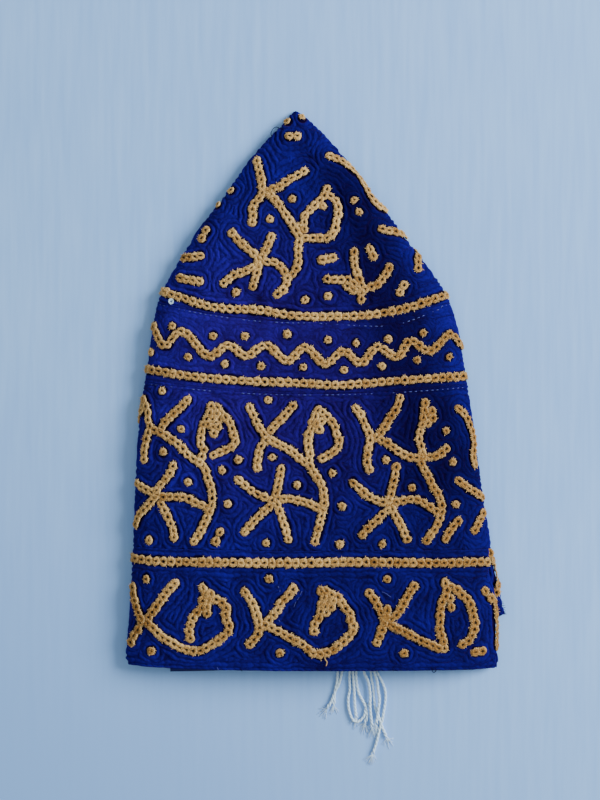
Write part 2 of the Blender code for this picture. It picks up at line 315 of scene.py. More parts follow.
# %% Read a table smoothly
def read(table, y, column):
    """One column of a table at every y. The tables run from high y to low y."""
    places = table[::-1, 0]
    values = table[::-1, column]
    slopes = np.gradient(values, places)
    y = np.clip(np.asarray(y, dtype=float), places[0], places[-1])
    span = np.clip(np.searchsorted(places, y, side="right") - 1, 0, len(places) - 2)
    width = places[span + 1] - places[span]
    t = (y - places[span]) / width
    start = (1 + 2 * t) * (1 - t) ** 2 * values[span] + t * (1 - t) ** 2 * width * slopes[span]
    end = t * t * (3 - 2 * t) * values[span + 1] + t * t * (t - 1) * width * slopes[span + 1]
    return start + end


def height_at(y):
    dips = sum(math.exp(-(((y - seam) / SEAM_DIP_REACH) ** 2))
               for seam in (CROWN_SEAM_Y, BAND_SEAM_Y))
    return float(read(SHAPE, y, 1)) - SEAM_DIP * dips


def tuck_depth(x, y):
    depth = 0.0
    for tuck_x, tuck_y, radius, deep in TUCKS:
        depth = depth + deep * np.exp(-((x - tuck_x) ** 2 + (y - tuck_y) ** 2) / radius ** 2)
    return depth


print("height over the tall band:", round(height_at(0.0), 1), "mm")

# %% [markdown]
# Each piece of cloth is kept as a fine table of points. One line of points runs across the piece,
# square to the cap's length, for each level along it. On a line the places are counted in
# millimetres along the cloth itself, from the middle of the upper side, to the right. A tailor's
# tape laid on the cloth would read the same numbers, so a flower charted on paper keeps its size
# where it goes round a fold.


# %% Lines across the cloth
ARCH_POINTS = 160
FOLD_POINTS = 14
FLAT_POINTS = 40
TIP_CLOTH = 6.5


def quarter(centre_x, centre_z, radius, start):
    """A quarter turn to the right that starts at the angle start, in degrees."""
    angle = np.radians(start - np.linspace(0, 90, FOLD_POINTS))
    return np.stack([centre_x + radius * np.cos(angle), centre_z + radius * np.sin(angle)], 1)


def flat_run(start, end, z):
    return np.stack([np.linspace(start, end, FLAT_POINTS), np.full(FLAT_POINTS, z)], 1)


def arch(left, right, left_z, right_z, top, y, right_share=1.0):
    """The upper side from left to right."""
    end = math.acos(right_share ** (0.5 * ARCH_POWER))
    angle = np.linspace(math.pi, end, ARCH_POINTS)
    across = np.sign(np.cos(angle)) * np.abs(np.cos(angle)) ** (2 / ARCH_POWER)
    up = np.abs(np.sin(angle)) ** (2 / ARCH_POWER)
    reach = np.where(across > 0, 1.0 / right_share, 1.0) * 0.5 * (right - left)
    x = 0.5 * (left + right) + reach * across
    end_z = np.where(across > 0, right_z, left_z)
    return np.stack([x, end_z + (top - end_z) * up - tuck_depth(x, y) * up], 1)


print("a fold turns a quarter in", FOLD_POINTS, "points")

# %% [markdown]
# Three kinds of line are put together from those stretches: a closed one for the crown and the
# bands, and an open one for each flap. Every line also tells where its left and right ends lie.

# %% Lines of the closed pieces and of the flaps
def ring_line(y):
    """Right round the cap, from the middle of the underside to the left, over the top and back."""
    left = float(read(OUTLINE, y + float(read(SHAPE, y, 2)), 1))
    right = float(read(OUTLINE, y + float(read(SHAPE, y, 3)), 2))
    top = height_at(y)
    blunt = math.sqrt(1 - (1 - min((TIP_Y - y) / TIP_ROUND, 1.0)) ** 2)
    middle = 0.5 * (left + right)
    left = middle + (left - middle) * blunt
    right = middle + (right - middle) * blunt
    radius = min(FOLD_RADIUS, FOLD_SHARE_OF_HEIGHT * top, FOLD_SHARE_OF_HEIGHT * (right - left))
    stretches = [flat_run(middle, left + radius, 0.0),
                 quarter(left + radius, radius, radius, -90),
                 arch(left, right, radius, radius, top, y),
                 quarter(right - radius, radius, radius, 0),
                 flat_run(right - radius, middle, 0.0)]
    return stretches, left, right


def front_line(y):
    """The front flap, from its edge on the underside round the left fold to its free edge."""
    left = float(read(FLAPS, y, 1))
    right = float(read(FLAPS, y, 2))
    edge_z = EDGE_HEIGHT - float(read(DROOP, y, 1))
    stretches = [flat_run(BACK_SLIT_X - SLIT_GAP, left + FOLD_RADIUS, 0.0),
                 quarter(left + FOLD_RADIUS, FOLD_RADIUS, FOLD_RADIUS, -90),
                 arch(left, right, FOLD_RADIUS, edge_z, height_at(y), y, EDGE_ARCH_SHARE)]
    return stretches, left, right


def back_line(y):
    """The back flap, from its turned-up margin round the right fold to its edge on the left."""
    left = BACK_SLIT_X + SLIT_GAP
    right = float(read(FLAPS, y, 3))
    radius = BACK_FOLD_RADIUS
    stretches = [flat_run(right - radius - MARGIN_WIDTH, right - radius, 2 * radius),
                 quarter(right - radius, radius, radius, 90),
                 quarter(right - radius, radius, radius, 0),
                 flat_run(right - radius, left, 0.0)]
    return stretches, left, right


def back_hem_at(x):
    """The lower edge of the back flap at x, from its left end to the right fold."""
    share = np.clip((x - BACK_SLIT_X) / (FLAPS[-1, 3] - BACK_SLIT_X), 0, 1)
    return BACK_HEM_LEFT_Y + (BACK_HEM_RIGHT_Y - BACK_HEM_LEFT_Y) * share ** BACK_HEM_CURVE


print("points across the cap:", sum(len(s) for s in ring_line(0.0)[0]))

# %% [markdown]
# The class below keeps such a table and answers three questions: which point belongs to a place on
# the cloth, which way the cloth faces there, and which place on the cloth lies under a point seen
# from above. Everything that is sewn on later asks it, so nothing can float off the cloth.


# %% One piece of cloth as a table of points
LEVEL_STEP = 1.0
FEWEST_LEVELS = 8
LINE_POINTS = 700
FACING_REACH = 0.8


class Cloth:
    """A piece of cloth as lines of points, one line for each level along the cap."""

    def __init__(self, name, top, foot, line, middle_part, upper_parts, closed):
        """middle_part is the stretch whose middle is arc 0. upper_parts are seen from above."""
        self.name = name
        self.closed = closed
        self.levels = np.linspace(top, foot, max(int((top - foot) / LEVEL_STEP), FEWEST_LEVELS))
        self.points = []
        self.starts = []
        self.lengths = []
        self.marks = []
        for y in self.levels:
            stretches, left, right = line(y)
            self.add_line(stretches, middle_part, left, right, y)
        self.points = np.array(self.points)
        self.starts = np.array(self.starts)
        self.lengths = np.array(self.lengths)
        self.marks = np.array(self.marks)
        self.upper = upper_parts

    def add_line(self, stretches, middle_part, left, right, y):
        """Even points along the line on one level, and where its stretches start."""
        middle = 0.5 * (left + right)
        line = np.concatenate([part[1 if i else 0:] for i, part in enumerate(stretches)])
        steps = np.hypot(*np.diff(line, axis=0).T)
        arcs = np.concatenate([[0.0], np.cumsum(steps)])
        ends = np.cumsum([len(part) - (1 if i else 0) for i, part in enumerate(stretches)]) - 1
        marks = np.concatenate([[0.0], arcs[ends]])
        if middle_part is None:
            zero = 0.0
        else:
            a, b = marks[middle_part], marks[middle_part + 1]
            inside = (arcs >= a) & (arcs <= b)
            zero = np.interp(middle, line[inside, 0], arcs[inside])
        even = np.linspace(0, arcs[-1], LINE_POINTS)
        x = np.interp(even, arcs, line[:, 0])
        z = np.interp(even, arcs, line[:, 1])
        sideways = np.clip(np.abs(x - middle) / (0.5 * (right - left)), 0, 1)
        lift = np.where(x < middle, read(SHAPE, y, 2), read(SHAPE, y, 3)) * sideways ** 2
        self.points.append(np.stack([x, y + lift, z], 1))
        self.starts.append(-zero)
        self.lengths.append(arcs[-1])
        self.marks.append(marks - zero)

    def row_of(self, level):
        span = self.levels[0] - self.levels[-1]
        row = (self.levels[0] - np.asarray(level, float)) / span * (len(self.levels) - 1)
        return np.clip(row, 0, len(self.levels) - 1.0001)

    def by_row(self, values, level):
        row = self.row_of(level)
        low = row.astype(int)
        t = row - low
        return values[low] * (1 - t) + values[low + 1] * t

    def mark(self, number, level):
        """Where the stretch number starts, on each level, in millimetres along the cloth."""
        return self.by_row(self.marks[:, number], level)

    def at(self, arc, level):
        """The points at places (arc, level) on the cloth."""
        arc = np.asarray(arc, float)
        row = self.row_of(level)
        low = row.astype(int)
        t = (row - low)[..., None]
        start = self.by_row(self.starts, level)
        length = self.by_row(self.lengths, level)
        share = (arc - start) / length
        share = share % 1.0 if self.closed else np.clip(share, 0, 1)
        column = share * (self.points.shape[1] - 1.0001)
        left = column.astype(int)
        s = (column - left)[..., None]
        upper = self.points[low, left] * (1 - s) + self.points[low, left + 1] * s
        lower = self.points[low + 1, left] * (1 - s) + self.points[low + 1, left + 1] * s
        return upper * (1 - t) + lower * t

    def facing(self, arc, level):
        """Point, direction to the right, direction to the tip and outward normal."""
        point = self.at(arc, level)
        start = self.by_row(self.starts, level)
        length = self.by_row(self.lengths, level)
        reach = np.minimum(FACING_REACH, 0.2 * length)
        row = np.clip(level, self.levels[-1] + reach, self.levels[0] - reach)
        column = arc if self.closed else np.clip(arc, start + reach, start + length - reach)
        across = self.at(column + reach, level) - self.at(column - reach, level)
        across /= np.linalg.norm(across, axis=-1, keepdims=True)
        along = self.at(arc, row + reach) - self.at(arc, row - reach)
        out = np.cross(across, along)
        out /= np.linalg.norm(out, axis=-1, keepdims=True)
        return point, across, np.cross(out, across), out

    def level_of(self, arc, y):
        """The level whose line passes through y at that arc."""
        level = np.asarray(y, float).copy()
        for _ in range(5):
            level = level + (y - self.at(arc, level)[..., 1])
        return level

    def arc_under(self, x, y):
        """The arc of the place that is seen at (x, y) from above."""
        x = np.asarray(x, float)
        level = np.asarray(y, float).copy()
        arc = np.zeros_like(x)
        for _ in range(4):
            for k in range(len(x)):
                arc[k] = self.upper_arc(x[k], level[k])
            level = level + (y - self.at(arc, level)[..., 1])
        return arc, level

    def upper_arc(self, x, level):
        row = int(round(float(self.row_of(level))))
        length = self.lengths[row]
        columns = self.starts[row] + length * np.linspace(0, 1, self.points.shape[1])
        low = self.marks[row, self.upper[0]]
        high = self.marks[row, self.upper[1]]
        seen = (columns >= low) & (columns <= high)
        return np.interp(x, self.points[row, seen, 0], columns[seen])


print("a piece of cloth can tell:", [word for word in vars(Cloth) if not word.startswith("_")])

# %% [markdown]
# The cap is five such pieces. Crown, zigzag band and tall band close round the cap. Below the
# slits the lower band falls into two flaps, and the lower one reaches a little further down on
# its left.

# %% The five pieces of cloth
TIP_START = 0.15
crown = Cloth("crown", TIP_Y - TIP_START, CROWN_SEAM_Y, ring_line, 2, (2, 3), True)
zigzag = Cloth("zigzag_band", CROWN_SEAM_Y, BAND_SEAM_Y, ring_line, 2, (2, 3), True)
tall = Cloth("tall_band", BAND_SEAM_Y, SLIT_TOP_Y, ring_line, 2, (2, 3), True)
front = Cloth("front_flap", SLIT_TOP_Y, FRONT_HEM_Y, front_line, 2, (2, 3), False)
BACK_FOOT = BACK_HEM_LEFT_Y - 3.0
back = Cloth("back_flap", SLIT_TOP_Y, BACK_FOOT, back_line, None, (0, 2), False)
for cloth in (crown, zigzag, tall, front, back):
    print(cloth.name, "is", round(float(cloth.lengths.max())), "mm round at its widest")

# %% [markdown]
# ## The camera
#
# The photograph looks straight down on the cap. The camera comes before the chart, because the
# chart was drawn over that view: a place on the paper is carried down the camera's line of sight
# to the cloth, and the cloth is not all at one height.

# %% The camera looks straight down
SQUARE = 0.73
CHART_ORIGIN = (312.0, 470.0)
CHART_CENTRE = (300.0, 400.0)
CAMERA_HEIGHT = 950.0
SHARP_HEIGHT = 5.0
SENSOR_MM = 36.0


def chart_to_table(column, row):
    """A chart place as x and y at the height where one square is 0.73 mm."""
    return (column - CHART_ORIGIN[0]) * SQUARE, (CHART_ORIGIN[1] - row) * SQUARE


eye_x, eye_y = chart_to_table(*CHART_CENTRE)
camera_data = bpy.data.cameras.new("camera")
camera_data.sensor_width = SENSOR_MM
camera_data.lens = SENSOR_MM * (CAMERA_HEIGHT - SHARP_HEIGHT) / (PICTURE_ROWS * SQUARE)
camera = linked("camera", camera_data)
camera.location = Vector((eye_x, eye_y, CAMERA_HEIGHT)) * MM
bpy.context.scene.camera = camera
print("lens:", round(camera_data.lens, 1), "mm")


def down_to(squares, height):
    """Chart places carried down the line of sight to a height, as x and y."""
    x, y = chart_to_table(*np.asarray(squares, float).T)
    share = (CAMERA_HEIGHT - height) / (CAMERA_HEIGHT - SHARP_HEIGHT)
    return eye_x + (x - eye_x) * share, eye_y + (y - eye_y) * share


def seen_on(cloth, squares):
    """Places on the cloth, as arc and level, under chart places."""
    height = SHARP_HEIGHT
    for _ in range(3):
        arc, level = cloth.arc_under(*down_to(squares, height))
        height = cloth.at(arc, level)[:, 2]
    return arc, level


# %% [markdown]
# ## The chart
#
# Flower sprigs like these are a common stock of the trade: a flower of crossed strokes, a bud on a
# hooked stem, a five-armed star and single seed stitches between them. An embroiderer would draw
# them on squared paper. One square is 0.73 mm, and each line below is one stroke of chain stitch,
# given by the squares it passes through, column first.

# %% Strokes of the crown
CROWN_CHART = """
flower: 257,161 259,170 261,178 262,186 262,193 258,200 254,204 252,210 253,216 252,222
flower: 304,171 298,175 290,179 279,187 272,189 267,192
flower: 270,194 275,200 279,205 283,211 288,218 292,224 296,231 299,236
bud: 327,189 324,196 319,201 315,205 310,210 305,215 304,222 304,229
bud: 330,196 336,201 338,207 338,215 336,222 335,229 331,236 325,238 318,238 312,238 306,238
bud: 323,206
bud: 299,226
stem: 299,242 298,248 298,256 298,263 296,269 292,275 287,279 286,285 283,290 278,294
star: 232,233 236,238 242,244 248,249 254,254 258,259
star: 271,237 268,245 265,251 262,257
star: 260,262 266,262 273,262 278,264 282,269 285,273 287,278
star: 257,264 251,268 244,272 236,274 230,278 224,283
star: 258,266 257,273 255,279 253,286
sprig: 354,252 354,259 355,267 357,273 359,279 361,285 361,292 361,299
sprig: 327,279 334,280 342,280 348,280 354,284 358,289
sprig: 347,286 353,290
sprig: 389,268 384,277 380,281 376,286 370,287 365,289
side: 330,156 334,158 342,161 350,167 357,174 362,181 366,187 369,193 373,199 378,205 384,209
side: 382,229 390,231 397,232 405,236
side: 417,252 418,259 418,268
dash: 289,136 297,136
dash: 206,230 202,238
dash: 184,258 192,257 200,256
dash: 180,278 189,280 199,281
dash: 370,249 373,256
dash: 322,260 327,259 332,258
dash: 404,285 400,292
dots: 302,117 287,121 292,199 270,219 231,190 218,205 236,292 354,200 359,212 328,296 305,300
"""
CROWN_STRIPE = "161,291 183,298 208,306 233,309 259,310 300,316 356,316 382,313 407,308 446,295"
print("crown chart:", len(CROWN_CHART.strip().splitlines()), "lines")

# %% [markdown]
# The narrow band under the crown carries one zigzag line between two rows of seed stitches. On a
# chart a zigzag is only its corners, and the seeds are single squares.

# %% Strokes of the zigzag band
ZIGZAG_WAVE = """154,327 164,346 176,334 186,333 208,356 228,345 246,356 266,345 287,361 305,347
325,364 343,351 361,363 377,347 397,357 410,341 430,351 450,334 461,345"""
ZIGZAG_CHART = """
dots: 172,326 213,336 245,336 287,334 328,340 356,343 388,339 423,333
dots: 151,352 188,357 225,364 261,366 303,367 344,370 382,366 417,360 449,357
"""
BAND_STRIPE = "147,369 164,372 189,376 208,378 247,381 300,383 331,385 356,384 407,380 465,376"
print("corners of the zigzag:", len(ZIGZAG_WAVE.split()))

# %% [markdown]
# The tall band shows one whole sprig in its middle and a part of one at either side, where the
# cloth turns over the folds. Hand work never repeats exactly, so each is charted as it lies. The
# middle one also serves as the pattern for the hidden side.

# %% Strokes of the tall band
TALL_LEFT_CHART = """
flower: 144,400 146,406 148,413 148,420 150,426 148,434 146,441 145,446 144,453 144,459
flower: 154,430 160,432 165,435 171,439 178,444 183,449 187,454 192,458 199,462
flower: 187,400 182,406 175,412 171,416 165,422 162,427
bud: 211,406 209,415 204,423 202,429 201,436 200,443 204,448 202,456
bud: 217,407 222,414 227,419 231,424 232,429 234,436 235,443 230,448 223,451 214,455
bud: 217,413 213,419 208,424
bud: 219,419 219,425 214,433
bud: 213,427
stem: 202,465 206,471 208,479 211,487 212,494 212,502 211,508 206,519 203,526 199,534 194,541
star: 173,466 169,475 162,483 157,490
star: 137,483 143,488 150,491 157,495
star: 155,497 151,502 144,510 139,515 136,524
star: 161,504 166,513 170,522 173,530 174,537
star: 163,497 169,497 179,497 187,498 194,502 202,505 207,508
dots: 162,391 181,429 163,452 188,482 222,470 238,460 228,504 149,540
dash: 220,532 216,541
"""
SPRIG_CHART = """
flower: 250,408 255,419 259,427 264,434
flower: 293,406 286,414 278,422 271,430
flower: 266,440 260,448 258,456 257,467
flower: 271,440 278,444 286,448 294,453 299,458 304,462
bud: 318,410 316,415 313,421 312,427 309,433 308,440 308,446 310,453 309,460
bud: 322,412 328,418 332,422 335,427 336,432 338,438 340,443 337,448 333,452 328,455 323,458
bud: 322,421 316,424 319,429
stem: 310,466 312,470 320,482 323,490 324,500 323,510 321,518 318,530 315,541
star: 239,480 247,487 255,493 264,497
star: 281,469 280,476 278,485 276,493
star: 272,500 269,507 262,513 253,522 245,531
star: 277,504 282,518 285,527 288,539
star: 277,499 283,499 291,499 300,501 308,503 316,507 322,510
dots: 268,400 272,457 297,485 266,543 332,473 342,506 340,544
"""
TALL_RIGHT_CHART = """
flower: 356,409 361,415 365,425 369,433
flower: 370,440 368,451 367,457 367,465 369,469
flower: 400,398 396,409 389,419 384,428 377,437
flower: 381,440 389,444 396,450 405,455 413,458 420,457 427,457 433,457 440,454 446,449
bud: 425,403 424,411 423,418 422,425 420,432 419,439 421,446 422,453
bud: 432,411 433,417 428,423
bud: 427,414
stem: 421,463 424,469 428,476 433,487 438,494 441,502 442,510 440,518 436,527 431,534 427,540
star: 353,483 359,488 364,493 373,499 382,502 389,504
star: 396,467 395,476 393,484 391,494 389,500
star: 396,502 407,500 414,499 422,502 430,507 436,511
star: 388,510 384,512 377,520 370,526 363,534
star: 392,509 395,515 399,522 403,530 407,539
dots: 446,431 386,460 453,462 412,488 456,504 382,544
dash: 458,521 451,529 446,538
flower: 459,409 465,415 470,425 473,436 474,445 473,455 475,464
star: 459,481 467,487 475,492 482,497
star: 483,513 479,522 475,530
"""
for name, chart in (("left", TALL_LEFT_CHART), ("middle", SPRIG_CHART),
                    ("right", TALL_RIGHT_CHART)):
    print(name, "sprig:", len(chart.strip().splitlines()), "lines")

# %% [markdown]
# Below the slits the band is two flaps. The upper one has flowers with a large curved loop, and
# a margin of the lower one shows beside it, with stitches that roll over its edge.

# %% Strokes of the lower band
LOWER_STRIPE = "134,558 156,561 190,562 300,563 358,562 435,563 473,562 487,562"
LOWER_LEFT_CHART = """
dots: 146,579 269,579 387,579 151,651 280,653 404,653
flower: 133,587 134,597 137,609 141,618
flower: 141,622 138,630 133,637 131,642
flower: 175,583 167,592 162,599 156,607 149,617
curve: 148,623 155,630 162,637 171,642 179,647 188,650 195,651 202,650 209,646 216,642 223,637
curve: 228,632 229,624 225,617 227,610 223,604 218,600 210,599
bud: 203,588 206,593 203,600 202,608 195,614 191,623 189,631 190,638
bud: 210,594 207,605 207,613
"""
LOOP_CHART = """
flower: 245,592 249,598 253,604 255,610 257,617 259,623 259,631 255,638 250,644
flower: 293,589 288,596 281,602 280,607 275,613 269,620
curve: 265,625 272,628 278,631 285,635 292,639 300,643 306,647 310,652 317,654 324,653 333,650
curve: 338,646 344,641 350,635 354,628 351,621 350,613 345,608 341,601 337,597 330,594 326,591
bud: 321,591 324,597 321,606 320,616 315,622 314,631
bud: 333,600 331,607 326,612
bud: 328,600 325,606
"""
LOWER_RIGHT_CHART = """
flower: 369,593 375,601 380,611 384,619
flower: 384,623 380,635 377,642
flower: 414,586 408,595 403,604 398,613 391,619
flower: 387,610 386,617
curve: 387,623 394,627 403,631 412,636 422,641 431,645 438,648
bud: 445,583 447,593 443,599 441,606 440,615 440,623 440,632 443,640 444,648
bud: 451,587 457,590 462,595 468,600 471,607 473,616 475,623 473,632 469,640 463,644
bud: 450,598 451,607
dash: 475,652 482,651
flower: 485,591 491,598
edge: 495,602 496,611 497,620 497,632 497,646
"""
MARGIN_CHART = """
side: 490,553 493,560
edge: 495,565 497,573 498,581
side: 498,585 496,592
"""
print("loop chart:", len(LOOP_CHART.strip().splitlines()), "lines")

# %% [markdown]
# The hidden side is covered in the same sprigs. A stroke that is copied there keeps its shape on
# the cloth and only moves along it. Round stripes are charted on the upper side and closed round
# the underside at an even level.


# %% From chart to strokes on the cloth
HIDDEN_STEP = 8.0


def squares_of(text):
    return [tuple(float(n) for n in pair.split(",")) for pair in text.split()]


class Stroke:
    """A line of stitches on a cloth, as places (arc, y)."""

    def __init__(self, cloth, arc, level, kind):
        self.cloth = cloth
        self.kind = kind
        self.arc = np.asarray(arc, float)
        self.level = np.asarray(level, float)
        self.y = cloth.at(self.arc, self.level)[:, 1]

    def moved(self, arcs):
        return Stroke(self.cloth, self.arc + arcs, self.level, self.kind)


def charted(cloth, chart):
    strokes = []
    for line in chart.strip().splitlines():
        kind, squares = line.split(":")
        places = squares_of(squares)
        arc, level = seen_on(cloth, places)
        if kind == "dots":
            strokes += [Stroke(cloth, arc[k:k + 1], level[k:k + 1], kind)
                        for k in range(len(places))]
        else:
            strokes.append(Stroke(cloth, arc, level, kind))
    return strokes


def closed_round(cloth, text):
    """A stripe that is charted on the upper side and closed round the underside."""
    arc, level = seen_on(cloth, squares_of(text))
    girth = cloth.by_row(cloth.lengths, level[-1])
    end = arc[0] + girth
    count = max(int((end - arc[-1]) / HIDDEN_STEP), 2)
    share = np.linspace(0, 1, count + 1)[1:]
    hidden_arc = arc[-1] + (end - arc[-1]) * share
    hidden_level = level[-1] + (level[0] - level[-1]) * share
    return Stroke(cloth, np.append(arc, hidden_arc), np.append(level, hidden_level), "stripe")


def hidden_copies(strokes, arcs):
    """Copies of charted strokes, moved along the cloth by each of the given arcs."""
    return [stroke.moved(arc) for arc in arcs for stroke in strokes]


print("the first square of the crown stripe:", squares_of(CROWN_STRIPE)[0])

# %% [markdown]
# The crown has one large sprig in front, so its hidden side gets the same sprig half way round. Its
# stripe closes round the underside.

# %% Sprigs round the crown
crown_strokes = charted(crown, CROWN_CHART)
crown_front = [s for s in crown_strokes if s.kind in ("flower", "bud", "stem", "star", "sprig")]
for stroke in crown_front:
    half_girth = 0.5 * crown.by_row(crown.lengths, stroke.level)
    crown_strokes.append(stroke.moved(half_girth))
crown_strokes.append(closed_round(crown, CROWN_STRIPE))
print("crown:", len(crown_strokes), "strokes")

# %% [markdown]
# The zigzag goes on at its own spacing until it meets itself, with a seed stitch in each bend.

# %% Zigzag all round
zigzag_strokes = charted(zigzag, ZIGZAG_CHART)
zigzag_strokes.append(closed_round(zigzag, BAND_STRIPE))
wave = Stroke(zigzag, *seen_on(zigzag, squares_of(ZIGZAG_WAVE)), "wave")
HIDDEN_WAVES = 8
WAVE_DROP = 4.0
SEED_OFFSET = 15.0
wave_end = wave.arc[0] + float(zigzag.by_row(zigzag.lengths, wave.level[0]))
turns = np.arange(1, 2 * HIDDEN_WAVES + 1)
wave_arcs = wave.arc[-1] + (wave_end - wave.arc[-1]) * turns / (2 * HIDDEN_WAVES + 1)
wave_levels = np.where(turns % 2 == 1, wave.level[8], wave.level[9]) + WAVE_DROP
zigzag_strokes.append(Stroke(zigzag, np.concatenate([wave.arc, wave_arcs, [wave_end]]),
                             np.concatenate([wave.level, wave_levels, wave.level[:1]]), "wave"))
for turn, arc in zip(turns, wave_arcs):
    level = wave_levels[turn - 1] + (SEED_OFFSET if turn % 2 == 1 else -SEED_OFFSET)
    zigzag_strokes.append(Stroke(zigzag, [arc], [level], "dots"))
print("zigzag band:", len(zigzag_strokes), "strokes")

# %% [markdown]
# The tall band has room for three more sprigs. The copies start one step early and end one late,
# and only strokes that lie wholly between the two folds are kept.

# %% Sprigs round the tall band
sprig = charted(tall, SPRIG_CHART)
tall_strokes = charted(tall, TALL_LEFT_CHART) + sprig + charted(tall, TALL_RIGHT_CHART)
sprig_arc = float(seen_on(tall, [(264.0, 437.0)])[0][0])
first_arc = float(seen_on(tall, [(156.0, 430.0)])[0][0])
last_arc = float(seen_on(tall, [(473.0, 440.0)])[0][0])
girth = float(tall.lengths.mean())
HIDDEN_SPRIGS = 3
spacing = (first_arc + girth - last_arc) / (HIDDEN_SPRIGS + 1)
right_fold = float(tall.mark(3, 0.0)) + 1.0
left_fold = float(tall.mark(2, 0.0)) + girth - 4.0
copies = hidden_copies(sprig, [last_arc + spacing * k - sprig_arc
                               for k in range(HIDDEN_SPRIGS + 2)])
tall_strokes += [s for s in copies if s.arc.min() > right_fold and s.arc.max() < left_fold]
print("tall band:", len(tall_strokes), "strokes")

# %% [markdown]
# The upper flap continues its stripe round the left fold to the slit underneath. The lower flap
# repeats the looped flower on the side that lies on the table, as far as its cloth reaches.

# %% Sprigs on the two flaps
BACK_LOOP_SPACING = 76.0
BACK_LOOP_START = 34.0
BACK_STRIPE_LEVEL = -67.6
loop = charted(front, LOOP_CHART)
front_strokes = charted(front, LOWER_LEFT_CHART) + loop + charted(front, LOWER_RIGHT_CHART)
seen_stripe = seen_on(front, squares_of(LOWER_STRIPE))
margin_arc = np.linspace(float(front.mark(0, -70.0)) + 4.0, seen_stripe[0][0], 5)[:-1]
front_strokes.append(Stroke(front, np.append(margin_arc, seen_stripe[0]),
                            np.append(np.full(4, seen_stripe[1][0]), seen_stripe[1]), "stripe"))

loop_arc = float(seen_on(front, [(262.0, 622.0)])[0][0])
back_strokes = charted(back, MARGIN_CHART)
floor_start = float(back.mark(3, -80.0))
for k in range(3):
    for stroke in loop:
        arcs = floor_start + BACK_LOOP_START + BACK_LOOP_SPACING * k - (loop_arc - stroke.arc)
        if arcs.max() < back.by_row(back.lengths, stroke.level.mean()) - 5.0:
            back_strokes.append(Stroke(back, arcs, stroke.level, stroke.kind))
stripe_end = float(back.by_row(back.lengths, BACK_STRIPE_LEVEL)) - 3.0
stripe_arcs = np.arange(float(back.mark(1, BACK_STRIPE_LEVEL)) + 6.0, stripe_end, 10.0)
back_strokes.append(Stroke(back, stripe_arcs, np.full(len(stripe_arcs), BACK_STRIPE_LEVEL),
                           "stripe"))
print("front flap:", len(front_strokes), "back flap:", len(back_strokes), "strokes")

# %% [markdown]
# ## The ground of blue rows
#
# Blue chain stitch fills the ground. Its first row hugs a gold stroke, the next hugs that row, and
# so on, until rows from two strokes meet in a crease. So the rows are the contour lines of the
# distance to the nearest gold stroke. For each point of the skin the lesson works out that
# distance, counted in rows, and the place along the row, counted in stitches. The distance lifts
# the skin into ridges, and both numbers are stored on the mesh for the material. First every
# stroke becomes a smooth curve, cut into short straight segments.

# %% Strokes as short segments
def curve_through(points, step):
    """Points at even steps along a smooth curve through the given ones."""
    points = np.asarray(points, float)
    if len(points) == 1:
        return points
    padded = np.vstack([2 * points[0] - points[1], points, 2 * points[-1] - points[-2]])
    fine = []
    for k in range(len(points) - 1):
        a, b, c, d = padded[k:k + 4]
        t = np.linspace(0, 1, 12, endpoint=False)[:, None]
        fine.append(0.5 * (2 * b + (c - a) * t + (2 * a - 5 * b + 4 * c - d) * t ** 2
                           + (3 * b - a - 3 * c + d) * t ** 3))
    fine = np.vstack([*fine, points[-1:]])
    steps = np.linalg.norm(np.diff(fine, axis=0), axis=1)
    arcs = np.concatenate([[0.0], np.cumsum(steps)])
    count = max(int(round(arcs[-1] / step)), 1)
    even = np.linspace(0, arcs[-1], count + 1)
    return np.stack([np.interp(even, arcs, column) for column in fine.T], 1)


def segments_of(lines):
    """Start, end, half width and length so far of every short piece of all lines."""
    pieces = []
    for points, half in lines:
        points = curve_through(points, 3.0)
        if len(points) == 1:
            points = np.vstack([points, points + 1e-3])
        lengths = np.hypot(*np.diff(points, axis=0).T)
        so_far = np.concatenate([[0.0], np.cumsum(lengths)[:-1]])
        for a, b, s in zip(points[:-1], points[1:], so_far):
            pieces.append((*a, *b, half, s))
    return np.array(pieces)


print("points of a bent stroke:", len(curve_through([(0, 0), (9, 4), (18, 0)], 3.0)))

# %% [markdown]
# The distance to a segment is plain geometry. It is worked out for a few thousand points at a time,
# against the segments that lie near them, because a table of all against all wouldn't fit in
# memory. Past the end of a stroke the rows turn round it, so the place along the row goes on
# growing with the angle.

# %% Distance to the nearest stroke
ROW_PITCH = 4.0
ECHO_REACH = 75.0
ECHO_CHUNK = 6000


def echo(arc, y, segments):
    """Distance in millimetres past the stroke's edge, and place along the row."""
    distance = np.empty(arc.size)
    along = np.empty(arc.size)
    flat = np.stack([arc.ravel(), y.ravel()], 1)
    start = segments[:, :2]
    run = segments[:, 2:4] - start
    length = np.maximum(np.hypot(*run.T), 1e-6)
    unit = run / length[:, None]
    for k in range(0, len(flat), ECHO_CHUNK):
        part = flat[k:k + ECHO_CHUNK]
        near = np.abs(start[:, 1] - part[:, 1].mean()) < ECHO_REACH
        dx = part[:, None, 0] - start[None, near, 0]
        dy = part[:, None, 1] - start[None, near, 1]
        u = unit[near]
        forward = dx * u[:, 0] + dy * u[:, 1]
        clipped = np.clip(forward, 0, length[near])
        side = dx * u[:, 1] - dy * u[:, 0]
        past = forward - clipped
        gap = np.hypot(past, side) - segments[near, 4]
        best = gap.argmin(1)
        rows = np.arange(len(part))
        turn = np.arctan2(past[rows, best], np.abs(side[rows, best]) + 1e-6)
        radius = gap[rows, best] + segments[near, 4][best]
        distance[k:k + ECHO_CHUNK] = gap[rows, best]
        along[k:k + ECHO_CHUNK] = segments[near, 5][best] + clipped[rows, best] + radius * turn
    return distance.reshape(arc.shape), along.reshape(arc.shape)


print("rows of blue stitches across 10 cm of ground:", round(100 / ROW_PITCH))

